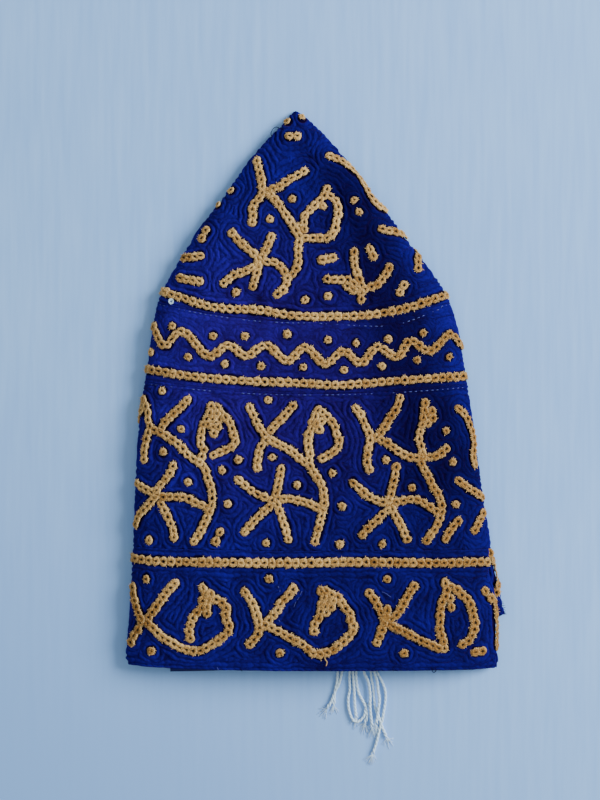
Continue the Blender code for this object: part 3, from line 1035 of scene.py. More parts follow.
# %% [markdown]
# Nothing that is made by hand is quite even. A sum of a few slow waves in chosen directions gives
# soft unevenness that is the same on every run.

# %% Soft waves
WAVES = 7


def ripple(x, y, seed, size):
    """Soft unevenness from -1 to 1, in waves of about the given size."""
    dice = np.random.default_rng(seed)
    total = np.zeros(np.shape(x))
    for _ in range(WAVES):
        angle = dice.uniform(0, 2 * math.pi)
        wave_number = 2 * math.pi / (size * dice.uniform(0.7, 1.6))
        phase = dice.uniform(0, 2 * math.pi)
        total = total + np.sin((x * math.cos(angle) + y * math.sin(angle)) * wave_number + phase)
    return total / 4.0


print("one place on a wave:", round(float(ripple(0.0, 0.0, 1, 10.0)), 3))

# %% [markdown]
# The skin is a grid of points. Upper side and folds get a point at least every millimetre, so that
# a row of stitches is a real ridge in the mesh. The underside, which lies on the table, gets wider
# steps. Round pieces see each stroke again one girth further on, so rows close across the back.

# %% The grid of the skin
FINE = 0.85
COARSE = 1.5
GOLD_HALF = 3.05
EDGE_LINE = -0.5 * ROW_PITCH
NEXT_TURN_REACH = 45.0


def columns_of(cloth, stops, levels):
    """Arcs of all columns on each level. stops are (first mark, last mark, step)."""
    parts = []
    middle = 0.5 * (cloth.levels[0] + cloth.levels[-1])
    for k, (first, last, step) in enumerate(stops):
        wide = max(float(cloth.mark(last, v) - cloth.mark(first, v))
                   for v in (cloth.levels[-1], middle))
        share = np.linspace(0, 1, int(wide / step) + 1)
        share = share if k == len(stops) - 1 and not cloth.closed else share[:-1]
        a = cloth.mark(first, levels)
        b = cloth.mark(last, levels)
        parts.append(a[..., None] * (1 - share) + b[..., None] * share)
    return np.concatenate(parts, -1)


def lines_of(cloth, strokes, edges):
    """Strokes and edges as lines of (arc, y). Round pieces get them again one girth further on."""
    lines = [(np.stack([s.arc, s.y], 1), GOLD_HALF, s.level) for s in strokes]
    lines += [(np.stack([arc, cloth.at(arc, level)[:, 1]], 1), EDGE_LINE, level)
              for arc, level in edges]
    found = []
    for points, half, level in lines:
        found.append((points, half))
        if cloth.closed:
            girth = cloth.by_row(cloth.lengths, level)
            for turn in (-1, 1):
                again = points.copy()
                again[:, 0] += turn * girth
                if np.abs(again[:, 0]).min() < 0.5 * girth.max() + NEXT_TURN_REACH:
                    found.append((again, half))
    return found


def skin_grid(cloth, stops, hem):
    """Arcs and levels of the skin's points, down to a level foot or to a slanting hem."""
    top = cloth.levels[0]
    foot = cloth.levels[-1] if hem is None else hem.min()
    rows = int((top - foot) / FINE) + 1
    share = np.linspace(0, 1, rows)[:, None]
    if hem is None:
        levels = top + (foot - top) * share
        arcs = columns_of(cloth, stops, levels[:, 0])
        return arcs, np.broadcast_to(levels, arcs.shape)
    arcs = columns_of(cloth, stops, np.full(rows, top))
    return arcs, top + (np.interp(arcs[0], *hem) - top) * share


print("points round the tall band:", columns_of(tall, ((0, 5, FINE),), tall.levels).shape[1])

# %% [markdown]
# A row is highest along its middle and falls to a groove on both sides. Left like that it would
# look machined, so slow waves bend the rows, flatten some of them and let the whole cloth pucker.
# Every wave is a row of the tables below: a seed, a strength in millimetres and a length.

# %% The relief of the rows
ROW_HEIGHT = 1.15
GROUND_INSET = 1.0
WANDER = ((5, 0.75, 17.0), (6, 0.48, 6.5))
PUCKER = ((3, 0.35, 42.0), (4, 0.32, 15.0))
RIDGE_SHARPNESS = 0.8
STROKE_BED = 0.1
EDGE_ROLL = 0.55
LOWEST_SKIN = 0.12


def span(point, axis):
    """The distance between neighbouring points along one axis of the grid."""
    return np.linalg.norm(np.gradient(point, axis=axis), axis=-1)


def row_pattern(arcs, point, segments):
    """How far each point is past the nearest stroke, how far along the row, and the creases."""
    distance, along = echo(arcs, point[..., 1], segments)
    for seed, strength, size in WANDER:
        distance = distance + strength * ripple(arcs, point[..., 1], seed, size)
    slope_a = np.gradient(distance, axis=1) / np.maximum(span(point, 1), 1e-3)
    slope_y = np.gradient(distance, axis=0) / np.maximum(span(point, 0), 1e-3)
    crease = np.clip((0.86 - np.hypot(slope_a, slope_y)) / 0.3, 0, 1) * (distance > 0.6)
    return distance, along, crease


def edge_fall(cloth, rows, columns):
    """How far the skin rolls in along the hem and the slits. Seams stay level."""
    if cloth.closed:
        return np.zeros((rows, columns))
    i = np.arange(rows)[:, None]
    j = np.arange(columns)[None, :]
    steps = np.minimum(rows - 1 - i, np.minimum(j, columns - 1 - j))
    return EDGE_ROLL * np.clip(1 - steps / 2.0, 0, 1) ** 2


def relief(arcs, point, distance, crease, fade):
    """How far the skin stands out at every point. fade says how clearly the rows show."""
    y = point[..., 1]
    across_row = np.abs((distance / ROW_PITCH % 1.0) - 0.5) * 2
    ridge = (0.5 + 0.5 * np.cos(math.pi * across_row)) ** RIDGE_SHARPNESS * (1 - 0.5 * crease)
    ridge = np.where(distance > 0, ridge, STROKE_BED)
    uneven = 1 + 0.14 * ripple(arcs, y, 9, 6.0)
    above_table = np.clip((point[..., 2] - 4.0) / 6.0, 0, 1)
    pucker = sum(strength * ripple(arcs, y, seed, size) for seed, strength, size in PUCKER)
    rows = ROW_HEIGHT * (ridge * fade + 0.5 * (1 - fade)) * uneven
    return rows - GROUND_INSET + above_table * pucker


print("grooves are up to", ROW_HEIGHT, "mm deep")

# %% [markdown]
# A wall has an outer face with the stitches, an inner face with far fewer rows, and rims that join
# the two. Where the cloth has free edges, one many-sided face spans each step of the inner face.
# The crown ends in a point on both faces.

# %% Join two faces into a wall
PAINTED = ("row", "along", "crease", "fade", "open_ground")


def wall_object(cloth, outer, inner, picked, paint):
    """Faces of both skins and of the open edges. A closed crown also gets its two end points."""
    rows, columns = outer.shape[:2]
    inner_rows = len(picked)
    points = [outer.reshape(-1, 3), inner.reshape(-1, 3)]
    total = rows * columns

    def grid_faces(first, count, flip):
        i, j = np.meshgrid(np.arange(count - 1), np.arange(columns), indexing="ij")
        if not cloth.closed:
            i, j = i[:, :-1], j[:, :-1]
        i, j = i.ravel(), j.ravel()
        k = (j + 1) % columns
        quad = np.stack([i * columns + j, (i + 1) * columns + j,
                         (i + 1) * columns + k, i * columns + k], 1) + first
        return quad[:, ::-1] if flip else quad

    outside = grid_faces(0, rows, False)
    inside = grid_faces(total, inner_rows, True)
    j = np.arange(columns if cloth.closed else columns - 1)
    k = (j + 1) % columns
    low_out = (rows - 1) * columns
    low_in = total + (inner_rows - 1) * columns
    rims = [np.stack([low_out + j, low_in + j, low_in + k, low_out + k], 1)]
    tips = []
    if cloth is crown:
        points.append(np.array([outer[0].mean(0), inner[0].mean(0)]))
        points[-1][0, 1] = TIP_Y
        last = total + inner_rows * columns
        tips += [[last, a, b] for a, b in zip(j, k)]
        tips += [[last + 1, total + b, total + a] for a, b in zip(j, k)]
    else:
        rims.append(np.stack([k, total + k, total + j, j], 1))
    sides = []
    if not cloth.closed:
        for m in range(inner_rows - 1):
            for column, flip in ((0, False), (columns - 1, True)):
                dense = [r * columns + column for r in range(picked[m], picked[m + 1] + 1)]
                loop = dense[::-1] + [total + m * columns + column,
                                      total + (m + 1) * columns + column]
                sides.append(loop[::-1] if flip else loop)
    points = np.concatenate(points)
    faces = np.concatenate([outside, inside, *rims]).tolist() + tips + sides
    mesh = smooth_mesh(cloth.name + "_cloth", points, faces)
    for name, values in zip(PAINTED, paint):
        store(mesh, name, np.append(values.ravel(), np.zeros(len(points) - total)))
    which = np.zeros(len(faces), dtype=np.int32)
    which[len(outside):len(outside) + len(inside)] = 1
    mesh.materials.append(BLUE_YARN)
    mesh.materials.append(BLUE_INSIDE)
    mesh.polygons.foreach_set("material_index", which)
    print(mesh.name, "has", sum(len(f) - 2 for f in faces), "triangles")
    return linked(mesh.name, mesh)


print("numbers stored for the yarn:", *PAINTED)

# %% [markdown]
# The wall of a piece has an outer skin with the relief and a plain inner face. The inner face has
# the same columns and every sixth row. Open edges are joined between the two, so each piece is one
# closed wall of cloth, and the crown also closes to a point at its tip.

# %% Build one stitched wall of cloth
INNER_INSET = 2.35
INNER_STRIDE = 6
STITCH_LENGTH = 4.6
OPEN_REACH = 1.2


def skin_mesh(cloth, strokes, edges, stops, hem=None, inner_shrink=1.0, raised=1.0):
    """A piece of cloth with its rows. inner_shrink keeps the inner face off a closed tip."""
    arcs, levels = skin_grid(cloth, stops, hem)
    rows, columns = arcs.shape
    point, _, _, out = cloth.facing(arcs, levels)
    segments = segments_of(lines_of(cloth, strokes, edges))
    distance, along, crease = row_pattern(arcs, point, segments)
    fade = raised * np.clip(0.80 + 0.30 * ripple(arcs, point[..., 1], 8, 24.0), 0.3, 1.1)
    lift = relief(arcs, point, distance, crease, fade) - edge_fall(cloth, rows, columns)
    outer = point + out * lift[..., None]
    outer[..., 2] = np.maximum(outer[..., 2], LOWEST_SKIN)
    picked = np.unique(np.append(np.arange(0, rows, INNER_STRIDE), rows - 1))
    inner_levels = cloth.levels[-1] + (levels[picked] - cloth.levels[-1]) * inner_shrink
    inner_arcs = arcs[picked]
    if inner_shrink != 1.0:
        inner_arcs = columns_of(cloth, stops, inner_levels[:, 0])
    inside, _, _, inner_out = cloth.facing(inner_arcs, inner_levels)
    inner = inside - inner_out * INNER_INSET
    paint = (distance / ROW_PITCH, along / STITCH_LENGTH, crease, fade,
             np.clip(distance / OPEN_REACH, 0, 1))
    return wall_object(cloth, outer, inner, picked, paint)


print("rows of the inner face in 10 cm:", round(100 / FINE / INNER_STRIDE))


# %% [markdown]
# ## Blue yarn
#
# The yarn is a deep ultramarine wool. Up close each row is a chain: small loops that lie in each
# other, so the row shows a line of little arrow heads. The grooves between rows get a nearly black
# painted shade, and where light grazes the hairy yarn it turns paler and more violet. The chain
# comes from the two numbers that the mesh stores, so it follows every bend of every row. Light and
# shade are also painted into the blue: it is painted paler on the left, and a long soft band of
# painted shade runs from the crown's right side down to the right fold. Two slanting lines, one for
# each border of that band, draw it.

# %% Blue yarn, outside and inside
VIOLET_PLACE = (-0.025, 0.070, 0.020)
SHADE_BAND_TOP = 0.176
LEFT_BORDER_SLANT = 0.258
RIGHT_BORDER_SLANT = 0.39


def painted_light_and_shade(board, place):
    """Painted light and shade on the blue: above 1 on the painted-light left, well below 1 in the
    painted shade band.
    """
    # Painted light on the left and a band of painted shade right of the middle scale the blue.
    x = board.part(place, "X")
    y = board.part(place, "Y")
    drop = SHADE_BAND_TOP - y
    after_left = (x - drop * LEFT_BORDER_SLANT).step(-0.002, 0.034)
    right_border = drop.math("MINIMUM", 0.175) * RIGHT_BORDER_SLANT
    before_right = 1.0 - (x - right_border).step(0.038, 0.072)
    below_tip = 1.0 - y.step(0.205, 0.240)
    # How deep the painted shade band is, and how strong the painted light on the left is.
    depth = 0.20 + y.step(-0.060, 0.010) * 0.37
    pale = (1.0 - x.step(-0.120, 0.025)) * (0.38 + y.step(-0.060, 0.060) * 0.38)
    return 0.93 + pale - after_left * before_right * below_tip * depth


def make_blue_yarn():
    board = Board("blue_chain_stitch", 0.92, 0.01, 0.08, (0.42, 0.12, 1.0))
    row = board.painted("row")
    along = board.painted("along")
    crease = board.painted("crease")
    fade = board.painted("fade")
    ground = board.painted("open_ground")
    place = board.place()
    side = row.fract().distance(0.5) * 2.0
    slant = along + side * 0.42
    loop = slant.fract()
    bead = 1.0 - (loop * 2.0 - 1.0).power(2.0)
    strand = 1.0 - side.distance(0.45) * 1.6
    dice = board.dice(board.vector(slant.floor(), row.floor(), 0.5))
    wear = board.noise(place, 60.0, 5.0)
    fibre = board.noise(place, 2600.0, 2.0)
    tuft = board.noise(place, 900.0, 2.0)
    shade = (bead * 0.12 + strand * 0.10 + dice * 0.18 + fibre * 0.20 + tuft * 0.36
             + wear * 0.78 - 0.56)
    span_out = board.add("ShaderNodeVectorMath", {"operation": "DISTANCE"},
                         {0: place, 1: VIOLET_PLACE}, "Value")
    violet = 1.0 - span_out.step(0.03, 0.15)
    low = board.mix(violet, rgb(0.0055, 0.0015, 0.046), rgb(0.0080, 0.0013, 0.044))
    high = board.mix(violet, rgb(0.0184, 0.0036, 0.250), rgb(0.0270, 0.0034, 0.252))
    # The colour is scaled by the painted light and shade.
    lit = board.add("ShaderNodeVectorMath", {"operation": "SCALE"},
                    {0: board.mix(shade, low, high), "Scale": painted_light_and_shade(board, place)})
    # Painted shade: the grooves between rows, the creases where rows meet and the ground under and
    # beside the gold strokes are mixed towards near black.
    sunk = (side * side * fade * 0.46 + crease * 0.15 + (1.0 - ground) * 0.9).math("MINIMUM", 1.0)
    colour = board.mix(sunk, lit, rgb(0.0030, 0.0006, 0.014))
    height = bead * 0.34 + strand * 0.20 + fibre * 0.16 + tuft * 0.44
    return board.finish(colour, height * ground, 0.6)


def make_blue_inside():
    """The inner face shows plain cotton with the backs of the stitches as fine lines."""
    board = Board("blue_inner_face", 0.95, 0.10, 0.2, (0.4, 0.35, 1.0))
    place = board.place()
    threads = board.add("ShaderNodeTexWave", {"wave_type": "BANDS", "bands_direction": "Y"},
                        {"Vector": place, "Scale": 160.0, "Distortion": 2.5}, "Fac")
    weave = board.add("ShaderNodeTexWave", {"wave_type": "BANDS", "bands_direction": "X"},
                      {"Vector": place, "Scale": 420.0, "Distortion": 0.5}, "Fac")
    mottle = board.noise(place, 120.0, 3.0)
    shade = threads * 0.4 + weave * 0.25 + mottle * 0.35
    colour = board.mix(shade, rgb(0.008, 0.010, 0.070), rgb(0.022, 0.026, 0.18))
    return board.finish(colour, threads + weave * 0.4, 0.25)


BLUE_YARN = make_blue_yarn()
BLUE_INSIDE = make_blue_inside()
print("blue materials:", BLUE_YARN.name, BLUE_INSIDE.name)

# %% [markdown]
# The crown and the two bands are tubes. Rows also run along their seams, so the seams join the
# strokes that the rows follow. The crown is the largest piece and gets slightly wider steps, and
# the narrow band is worked flatter than the rest.

# %% Stitch the crown and the bands
TUBE_STOPS = ((0, 1, COARSE), (1, 3, FINE), (3, 5, COARSE))
CROWN_STOPS = ((0, 1, 1.6), (1, 3, 0.95), (3, 5, 1.6))
EDGE_STEP = 8.0


def level_edge(start, end, level):
    """A seam or a hem as a line that rows can follow."""
    arcs = np.arange(float(start), float(end), EDGE_STEP)
    return arcs, np.full(len(arcs), float(level))


def round_edge(cloth, level):
    half = 0.5 * float(cloth.by_row(cloth.lengths, level))
    return level_edge(-half, half, level)


crown_shrink = (TIP_Y - TIP_CLOTH - CROWN_SEAM_Y) / (TIP_Y - CROWN_SEAM_Y)
crown_cloth = skin_mesh(crown, crown_strokes, [round_edge(crown, crown.levels[-1])], CROWN_STOPS,
                        inner_shrink=crown_shrink)
zigzag_seams = [round_edge(zigzag, level) for level in (zigzag.levels[0], zigzag.levels[-1])]
zigzag_cloth = skin_mesh(zigzag, zigzag_strokes, zigzag_seams, TUBE_STOPS, raised=0.45)
tall_cloth = skin_mesh(tall, tall_strokes, [round_edge(tall, tall.levels[0])], TUBE_STOPS)

# %% [markdown]
# The flaps have free edges, and rows follow those too. The lower flap's hem climbs towards the
# right fold, so the foot of its grid is the hem itself.

# %% Stitch the flaps
def side_edge(cloth, mark):
    """A line down the free edge of a flap."""
    levels = np.arange(cloth.levels[0] - 2.0, cloth.levels[-1] + 2.0, -EDGE_STEP)
    return cloth.mark(mark, levels), levels


front_hem = level_edge(front.starts[-1], front.starts[-1] + front.lengths[-1], front.levels[-1])
front_cloth = skin_mesh(front, front_strokes,
                        [front_hem, side_edge(front, 3), side_edge(front, 0)],
                        ((0, 1, COARSE), (1, 3, FINE)))
back_end_arc = float(back.lengths[0])
hem_run = np.linspace(float(back.mark(2, SLIT_TOP_Y)), back_end_arc, 16)
hem_y = back_hem_at(back.at(hem_run, np.full(16, BACK_HEM_RIGHT_Y))[:, 0])
back_hem = np.array([np.append(0.0, hem_run),
                     np.append(BACK_HEM_RIGHT_Y - MARGIN_HEM_DROP, back.level_of(hem_run, hem_y))])
hem_arcs = np.arange(0.0, back_end_arc, EDGE_STEP)
back_cloth = skin_mesh(back, back_strokes, [(hem_arcs, np.interp(hem_arcs, *back_hem))],
                       ((0, 3, FINE), (3, 4, COARSE)), hem=back_hem)

# %% [markdown]
# ## Gold chain stitch
#
# Every gold stitch is a loop of thick yarn. It is narrow where it comes up inside the loop before,
# and round at its far end, where the next loop holds it down. One loop is modelled as a ring of
# tube, and all stitches of a piece are copies of it, set along the strokes.

# %% One loop of yarn
LOOP_STEPS = 16
YARN_SIDES = 6
LOOP_LENGTH = 4.4
LOOP_WIDTH = 3.9
YARN_SPREAD = 1.22
YARN_FLATNESS = 0.74


def loop_template():
    """Centre line and frames of a loop that lies along x, as numpy arrays."""
    t = 2 * math.pi * np.arange(LOOP_STEPS) / LOOP_STEPS
    x = -0.5 * LOOP_LENGTH * np.cos(t)
    y = 0.5 * LOOP_WIDTH * np.sin(t) * (0.86 - 0.20 * np.cos(t))
    z = 0.45 + 0.35 * np.exp(-((x + 1.0) / 1.3) ** 2) - 0.9 * np.exp(-((x + 2.5) / 0.7) ** 2)
    centre = np.stack([x, y, z], 1)
    along = np.roll(centre, -1, 0) - np.roll(centre, 1, 0)
    along /= np.linalg.norm(along, axis=1, keepdims=True)
    outward = np.cross(np.array([0.0, 0.0, 1.0]), along)
    outward /= np.linalg.norm(outward, axis=1, keepdims=True)
    up = np.cross(along, outward)
    angle = 2 * math.pi * np.arange(YARN_SIDES) / YARN_SIDES
    ring = (YARN_SPREAD * outward[:, None] * np.cos(angle)[None, :, None]
            + YARN_FLATNESS * up[:, None] * np.sin(angle)[None, :, None])
    return centre, ring


def loop_faces():
    i, k = np.meshgrid(np.arange(LOOP_STEPS), np.arange(YARN_SIDES), indexing="ij")
    i, k = i.ravel(), k.ravel()
    j = (i + 1) % LOOP_STEPS
    m = (k + 1) % YARN_SIDES
    quads = np.stack([i * YARN_SIDES + k, i * YARN_SIDES + m,
                      j * YARN_SIDES + m, j * YARN_SIDES + k], 1)
    u = np.stack([i, i, i + 1, i + 1], 1) / LOOP_STEPS
    v = np.stack([k, k + 1, k + 1, k], 1) / YARN_SIDES
    return quads, np.stack([u, v], 2)


print("faces of one loop:", len(loop_faces()[0]))

# %% [markdown]
# Stitches sit at even steps along a stroke and point along it. Stripes are worked in longer
# stitches. A seed is one stitch alone, and an edge stitch rolls over the rim of the cloth.

# %% Places of the stitches
STITCH_PITCH = 4.9
STRIPE_PITCH = 5.6
DOT_TURN = 2.1


def stitch_places(strokes):
    """Arc, y, direction and kind: 0 in a line, 1 alone, 2 on a rolled edge."""
    places = []
    for stroke in strokes:
        if len(stroke.arc) == 1:
            places.append((stroke.arc[0], stroke.y[0], DOT_TURN * len(places), 1.0))
            continue
        pitch = STRIPE_PITCH if stroke.kind == "stripe" else STITCH_PITCH
        line = curve_through(np.stack([stroke.arc, stroke.y], 1), pitch)
        for place, run in zip(line, np.gradient(line, axis=0)):
            kind = 2.0 if stroke.kind == "edge" else 0.0
            places.append((*place, math.atan2(run[1], run[0]), kind))
    return np.array(places)


print("stitches on the crown:", len(stitch_places(crown_strokes)))

# %% [markdown]
# Wool is hairy. Against the dark ground its loose fibres show as a fine fringe round every stroke,
# so each loop gets a few short needles on its outer side.

# %% Loose fibres
FUZZ_COUNT = 10
FUZZ_RADIUS = 0.30
FUZZ_LENGTHS = (0.7, 1.6)


def needles(roots, out, up, dice):
    """Thin three-sided needles at the roots that point out and a little up."""
    count = len(roots)
    side = np.cross(out, up)
    lean = out + up * dice.normal(0.25, 0.45, count)[:, None]
    lean = lean + side * dice.normal(0, 0.6, count)[:, None]
    lean /= np.linalg.norm(lean, axis=1, keepdims=True)
    tips = roots + lean * dice.uniform(*FUZZ_LENGTHS, count)[:, None]
    base = [roots + FUZZ_RADIUS * (math.cos(a) * up + math.sin(a) * side)
            for a in (0.0, 2 * math.pi / 3, 4 * math.pi / 3)]
    points = np.stack([*base, tips], 1)
    faces = np.array([[0, 2, 3], [2, 1, 3], [1, 0, 3], [0, 1, 2]])
    return points, (faces[None] + 4 * np.arange(count)[:, None, None]).reshape(-1, 3)


print("needles are at most", FUZZ_LENGTHS[1], "mm long")

# %% [markdown]
# Hand work is uneven, so each copy of the loop is turned, stretched and roughened a little
# differently. All loops of a piece become one mesh. Each stitch also gets a tone between dark and
# pale gold, and the tone is darker on the right and near the mouth.

# %% All gold stitches of one piece
YARN_RADIUS = 1.14
YARN_ROUGHNESS = 0.15
LOOP_SINK = 0.35
KIND_LENGTHS = np.array([1.0, 0.68, 1.15])
KIND_WIDTHS = np.array([1.0, 0.84, 0.40])
KIND_THICKNESSES = np.array([1.0, 0.95, 0.75])
FUZZ_TONE = 1.3
LOWEST_GOLD = 0.05


def yarn_tone(places, point, seed, dice):
    """How pale each stitch is, from 0 to 1."""
    # The tone is darker towards the right and towards the mouth.
    to_right = np.clip((point[:, 0] - 10) / 80, 0, 1)
    to_mouth = np.clip((-45 - point[:, 1]) / 40, 0, 1)
    tone = 0.66 + 0.26 * ripple(places[:, 0], places[:, 1], seed + 1, 38.0)
    tone = tone - 0.70 * to_right - 0.28 * to_mouth + dice.normal(0, 0.17, len(places))
    return np.clip(tone, 0, 1)


def gold_object(cloth, places, seed, size=1.0):
    """One mesh of all loops and needles of a piece of cloth."""
    count = len(places)
    dice = np.random.default_rng(seed)
    level = cloth.level_of(places[:, 0], places[:, 1])
    point, across, up, out = cloth.facing(places[:, 0], level)
    angle = places[:, 2] + dice.normal(0, 0.10, count)
    forward = across * np.cos(angle)[:, None] + up * np.sin(angle)[:, None]
    sideways = np.cross(out, forward)
    kind = places[:, 3].astype(int)
    length = KIND_LENGTHS[kind] * dice.normal(1.0, 0.06, count)
    width = size * KIND_WIDTHS[kind] * dice.normal(1.0, 0.08, count)
    thick = size * KIND_THICKNESSES[kind] * dice.normal(1.0, 0.08, count)
    centre, ring = loop_template()
    scaled = centre[None] * np.stack([length, width, np.ones(count)], 1)[:, None]
    rough = dice.normal(1.0, YARN_ROUGHNESS, (count, LOOP_STEPS, YARN_SIDES))
    swell = YARN_RADIUS * thick[:, None, None] * rough
    local = scaled[:, :, None] + ring[None] * swell[..., None]
    origin = point + out * (dice.normal(0.0, 0.10, count) - LOOP_SINK)[:, None]

    def placed(vectors):
        return (forward[:, None, None] * vectors[..., 0:1]
                + sideways[:, None, None] * vectors[..., 1:2]
                + out[:, None, None] * vectors[..., 2:3])

    world = origin[:, None, None] + placed(local)
    step = dice.integers(0, LOOP_STEPS, (count, FUZZ_COUNT))
    turn = dice.integers(0, 2, (count, FUZZ_COUNT))
    stitch = np.arange(count)[:, None]
    outward = placed(np.broadcast_to(ring, local.shape))
    fuzz, fuzz_faces = needles(world[stitch, step, turn].reshape(-1, 3),
                               outward[stitch, step, turn].reshape(-1, 3),
                               np.repeat(out, FUZZ_COUNT, 0), dice)
    quads, uv = loop_faces()
    per_loop = LOOP_STEPS * YARN_SIDES
    faces = (quads[None] + (np.arange(count) * per_loop)[:, None, None]).reshape(-1, 4)
    points = np.concatenate([world.reshape(-1, 3), fuzz.reshape(-1, 3)])
    points[:, 2] = np.maximum(points[:, 2], LOWEST_GOLD)
    mesh = smooth_mesh(cloth.name + "_gold", points,
                       faces.tolist() + (fuzz_faces + count * per_loop).tolist())
    corners = np.concatenate([np.tile(uv.reshape(-1, 2), (count, 1)),
                              np.tile([0.5, 0.0], (3 * len(fuzz_faces), 1))])
    layer = mesh.uv_layers.new(name="yarn")
    layer.data.foreach_set("uv", corners.astype(np.float32).ravel())
    tone = yarn_tone(places, point, seed, dice)
    store(mesh, "tone", np.append(np.repeat(tone, per_loop), np.full(4 * len(fuzz), FUZZ_TONE)))
    mesh.materials.append(GOLD_YARN)
    print(mesh.name, "has", count, "stitches and", 2 * len(faces) + len(fuzz_faces), "triangles")
    return linked(mesh.name, mesh)


print("a seed stitch is", round(LOOP_LENGTH * KIND_LENGTHS[1], 1), "mm long")

# %% [markdown]
# The gold is a matt two-ply wool between straw and ochre. The side of each loop that faces its hole
# gets a dark brown painted shade, and its outer side is painted pale, partly for the fibre fringe
# and partly as painted light. The ply shows as slanting lines round the yarn, which come from the
# stitch's own coordinates: one runs along the loop and one round the yarn.

# %% Gold yarn
def make_gold_yarn():
    board = Board("gold_chain_stitch", 0.9, 0.05, 0.22, (1.0, 0.76, 0.42))
    uv = board.add("ShaderNodeUVMap", {"uv_map": "yarn"}, {})
    along = board.part(uv, "X")
    round_yarn = board.part(uv, "Y")
    tone = board.painted("tone")
    place = board.place()
    twist = (along * 15.0 + round_yarn * 2.0).fract()
    ply = 1.0 - (twist * 2.0 - 1.0).power(2.0)
    fibre = board.noise(place, 3000.0, 2.0)
    mottle = board.noise(place, 420.0, 2.0)
    low = board.mix(tone, rgb(0.15, 0.048, 0.007), rgb(0.46, 0.205, 0.038))
    high = board.mix(tone, rgb(0.51, 0.245, 0.060), rgb(0.98, 0.60, 0.225))
    tuft = board.noise(place, 1150.0, 2.0)
    shade = ply * 0.30 + fibre * 0.40 + tuft * 2.60 + mottle * 1.10 - 1.68
    yarn = board.mix(shade, low, high)
    # The loose fibres and the outer side of each loop are painted pale straw: the fibres for their
    # pale fringe, the outer side partly for that fringe and partly as painted light.
    hair = tone.step(1.05, 1.25)
    rim = round_yarn.distance(0.5).step(0.26, 0.46)
    yarn = board.mix(hair + rim * 0.30, yarn, rgb(0.98, 0.69, 0.34))
    # Painted shade: the side of each loop that faces its hole is mixed towards dark brown.
    painted_hole_shade = 1.0 - round_yarn.distance(0.47).step(0.02, 0.16)
    colour = board.mix(painted_hole_shade * 0.92, yarn, rgb(0.050, 0.018, 0.008))
    return board.finish(colour, ply * 0.5 + fibre * 0.4 + tuft * 0.5, 0.7)


GOLD_YARN = make_gold_yarn()
print("gold material:", GOLD_YARN.name)

# %% [markdown]
# Every piece of cloth gets its gold as one mesh. The flaps are stitched a little larger. On the
# lower flap the stitches stop short of the slanting hem.

# %% Stitch the gold
HEM_MARGIN = 5.0
LARGE_STITCH = 1.10
back_places = stitch_places(back_strokes)
above_hem = back_places[:, 1] > np.interp(back_places[:, 0], *back_hem) + HEM_MARGIN
gold_pieces = [gold_object(crown, stitch_places(crown_strokes), 11),
               gold_object(zigzag, stitch_places(zigzag_strokes), 12),
               gold_object(tall, stitch_places(tall_strokes), 13),
               gold_object(front, stitch_places(front_strokes), 14, LARGE_STITCH),
               gold_object(back, back_places[above_hem], 15, LARGE_STITCH)]

# %% [markdown]
# ## White threads
#
# A few white cotton ends hang out of the mouth and lie on the table, and running stitches of the
# same thread show along both seams. A thread is a tube with many sides and little else, so one
# function makes the rings of a tube along a route, and a second joins any number of tubes.

# %% Tubes along a route
def tube_points(route, radius, sides):
    route = np.asarray(route, float)
    along = np.gradient(route, axis=0)
    along /= np.linalg.norm(along, axis=1, keepdims=True)
    side = np.cross(along, np.array([0.0, 0.0, 1.0]))
    side /= np.maximum(np.linalg.norm(side, axis=1, keepdims=True), 1e-6)
    up = np.cross(side, along)
    angle = 2 * math.pi * np.arange(sides) / sides
    radius = np.broadcast_to(np.asarray(radius, float), (len(route),))[:, None, None]
    return route[:, None] + radius * (side[:, None] * np.cos(angle)[None, :, None]
                                      + up[:, None] * np.sin(angle)[None, :, None])


def tubes_object(name, tubes, material):
    """Several closed tubes as one mesh. Each tube is an array of rings."""
    points = []
    faces = []
    for rings in tubes:
        first = len(points)
        count, sides = rings.shape[:2]
        points += rings.reshape(-1, 3).tolist()
        for i in range(count - 1):
            for k in range(sides):
                a = first + i * sides + k
                b = first + i * sides + (k + 1) % sides
                faces.append([a, a + sides, b + sides, b])
        faces.append([first + k for k in range(sides)])
        last = first + (count - 1) * sides
        faces.append([last + k for k in reversed(range(sides))])
    mesh = smooth_mesh(name, points, faces)
    mesh.materials.append(material)
    print(name, "has", len(tubes), "strands and", 2 * len(faces), "triangles at most")
    return linked(name, mesh)


print("rings of a straight tube:", tube_points([(0, 0, 0), (1, 0, 0)], 0.5, 6).shape[0])

# %% [markdown]
# The cotton is soft white with a little grime. Where the same thread has sunk into the blue pile
# along the seams, only a pale blue shimmer is left of it, so that gets a finish of its own: its
# blue is partly the pile over it and partly painted shade.

# %% White cotton
def make_white_thread():
    board = Board("white_cotton_thread", 0.85, 0.14, 0.3, (0.75, 0.88, 1.0))
    place = board.place()
    fibre = board.noise(place, 2400.0, 3.0)
    grime = board.noise(place, 90.0, 2.0)
    colour = board.mix(fibre * 0.5 + grime * 0.6 - 0.05, rgb(0.58, 0.77, 0.98),
                       rgb(0.80, 0.93, 1.0))
    return board.finish(colour, fibre, 0.3)


def make_seam_thread():
    """The same cotton, sunk in blue pile: its blue is partly the pile and partly painted shade."""
    board = Board("sunken_seam_thread", 0.9, 0.10, 0.1, (0.8, 0.85, 1.0))
    fibre = board.noise(board.place(), 700.0, 2.0)
    # Painted shade: the white cotton is coloured dark blue where the pile covers and shades it.
    colour = board.mix(fibre * 1.6 - 0.3, rgb(0.026, 0.030, 0.20), rgb(0.13, 0.16, 0.44))
    return board.finish(colour, fibre, 0.3)


WHITE_THREAD = make_white_thread()
SEAM_THREAD = make_seam_thread()
print("cotton finishes:", WHITE_THREAD.name, SEAM_THREAD.name)

# %% [markdown]
# Each loose thread is two thin plies that wind round each other and part at the frayed end. The
# threads start at a small flat knot inside, pass over the back hem, and step down to the table.
# Their routes are charted like the strokes.

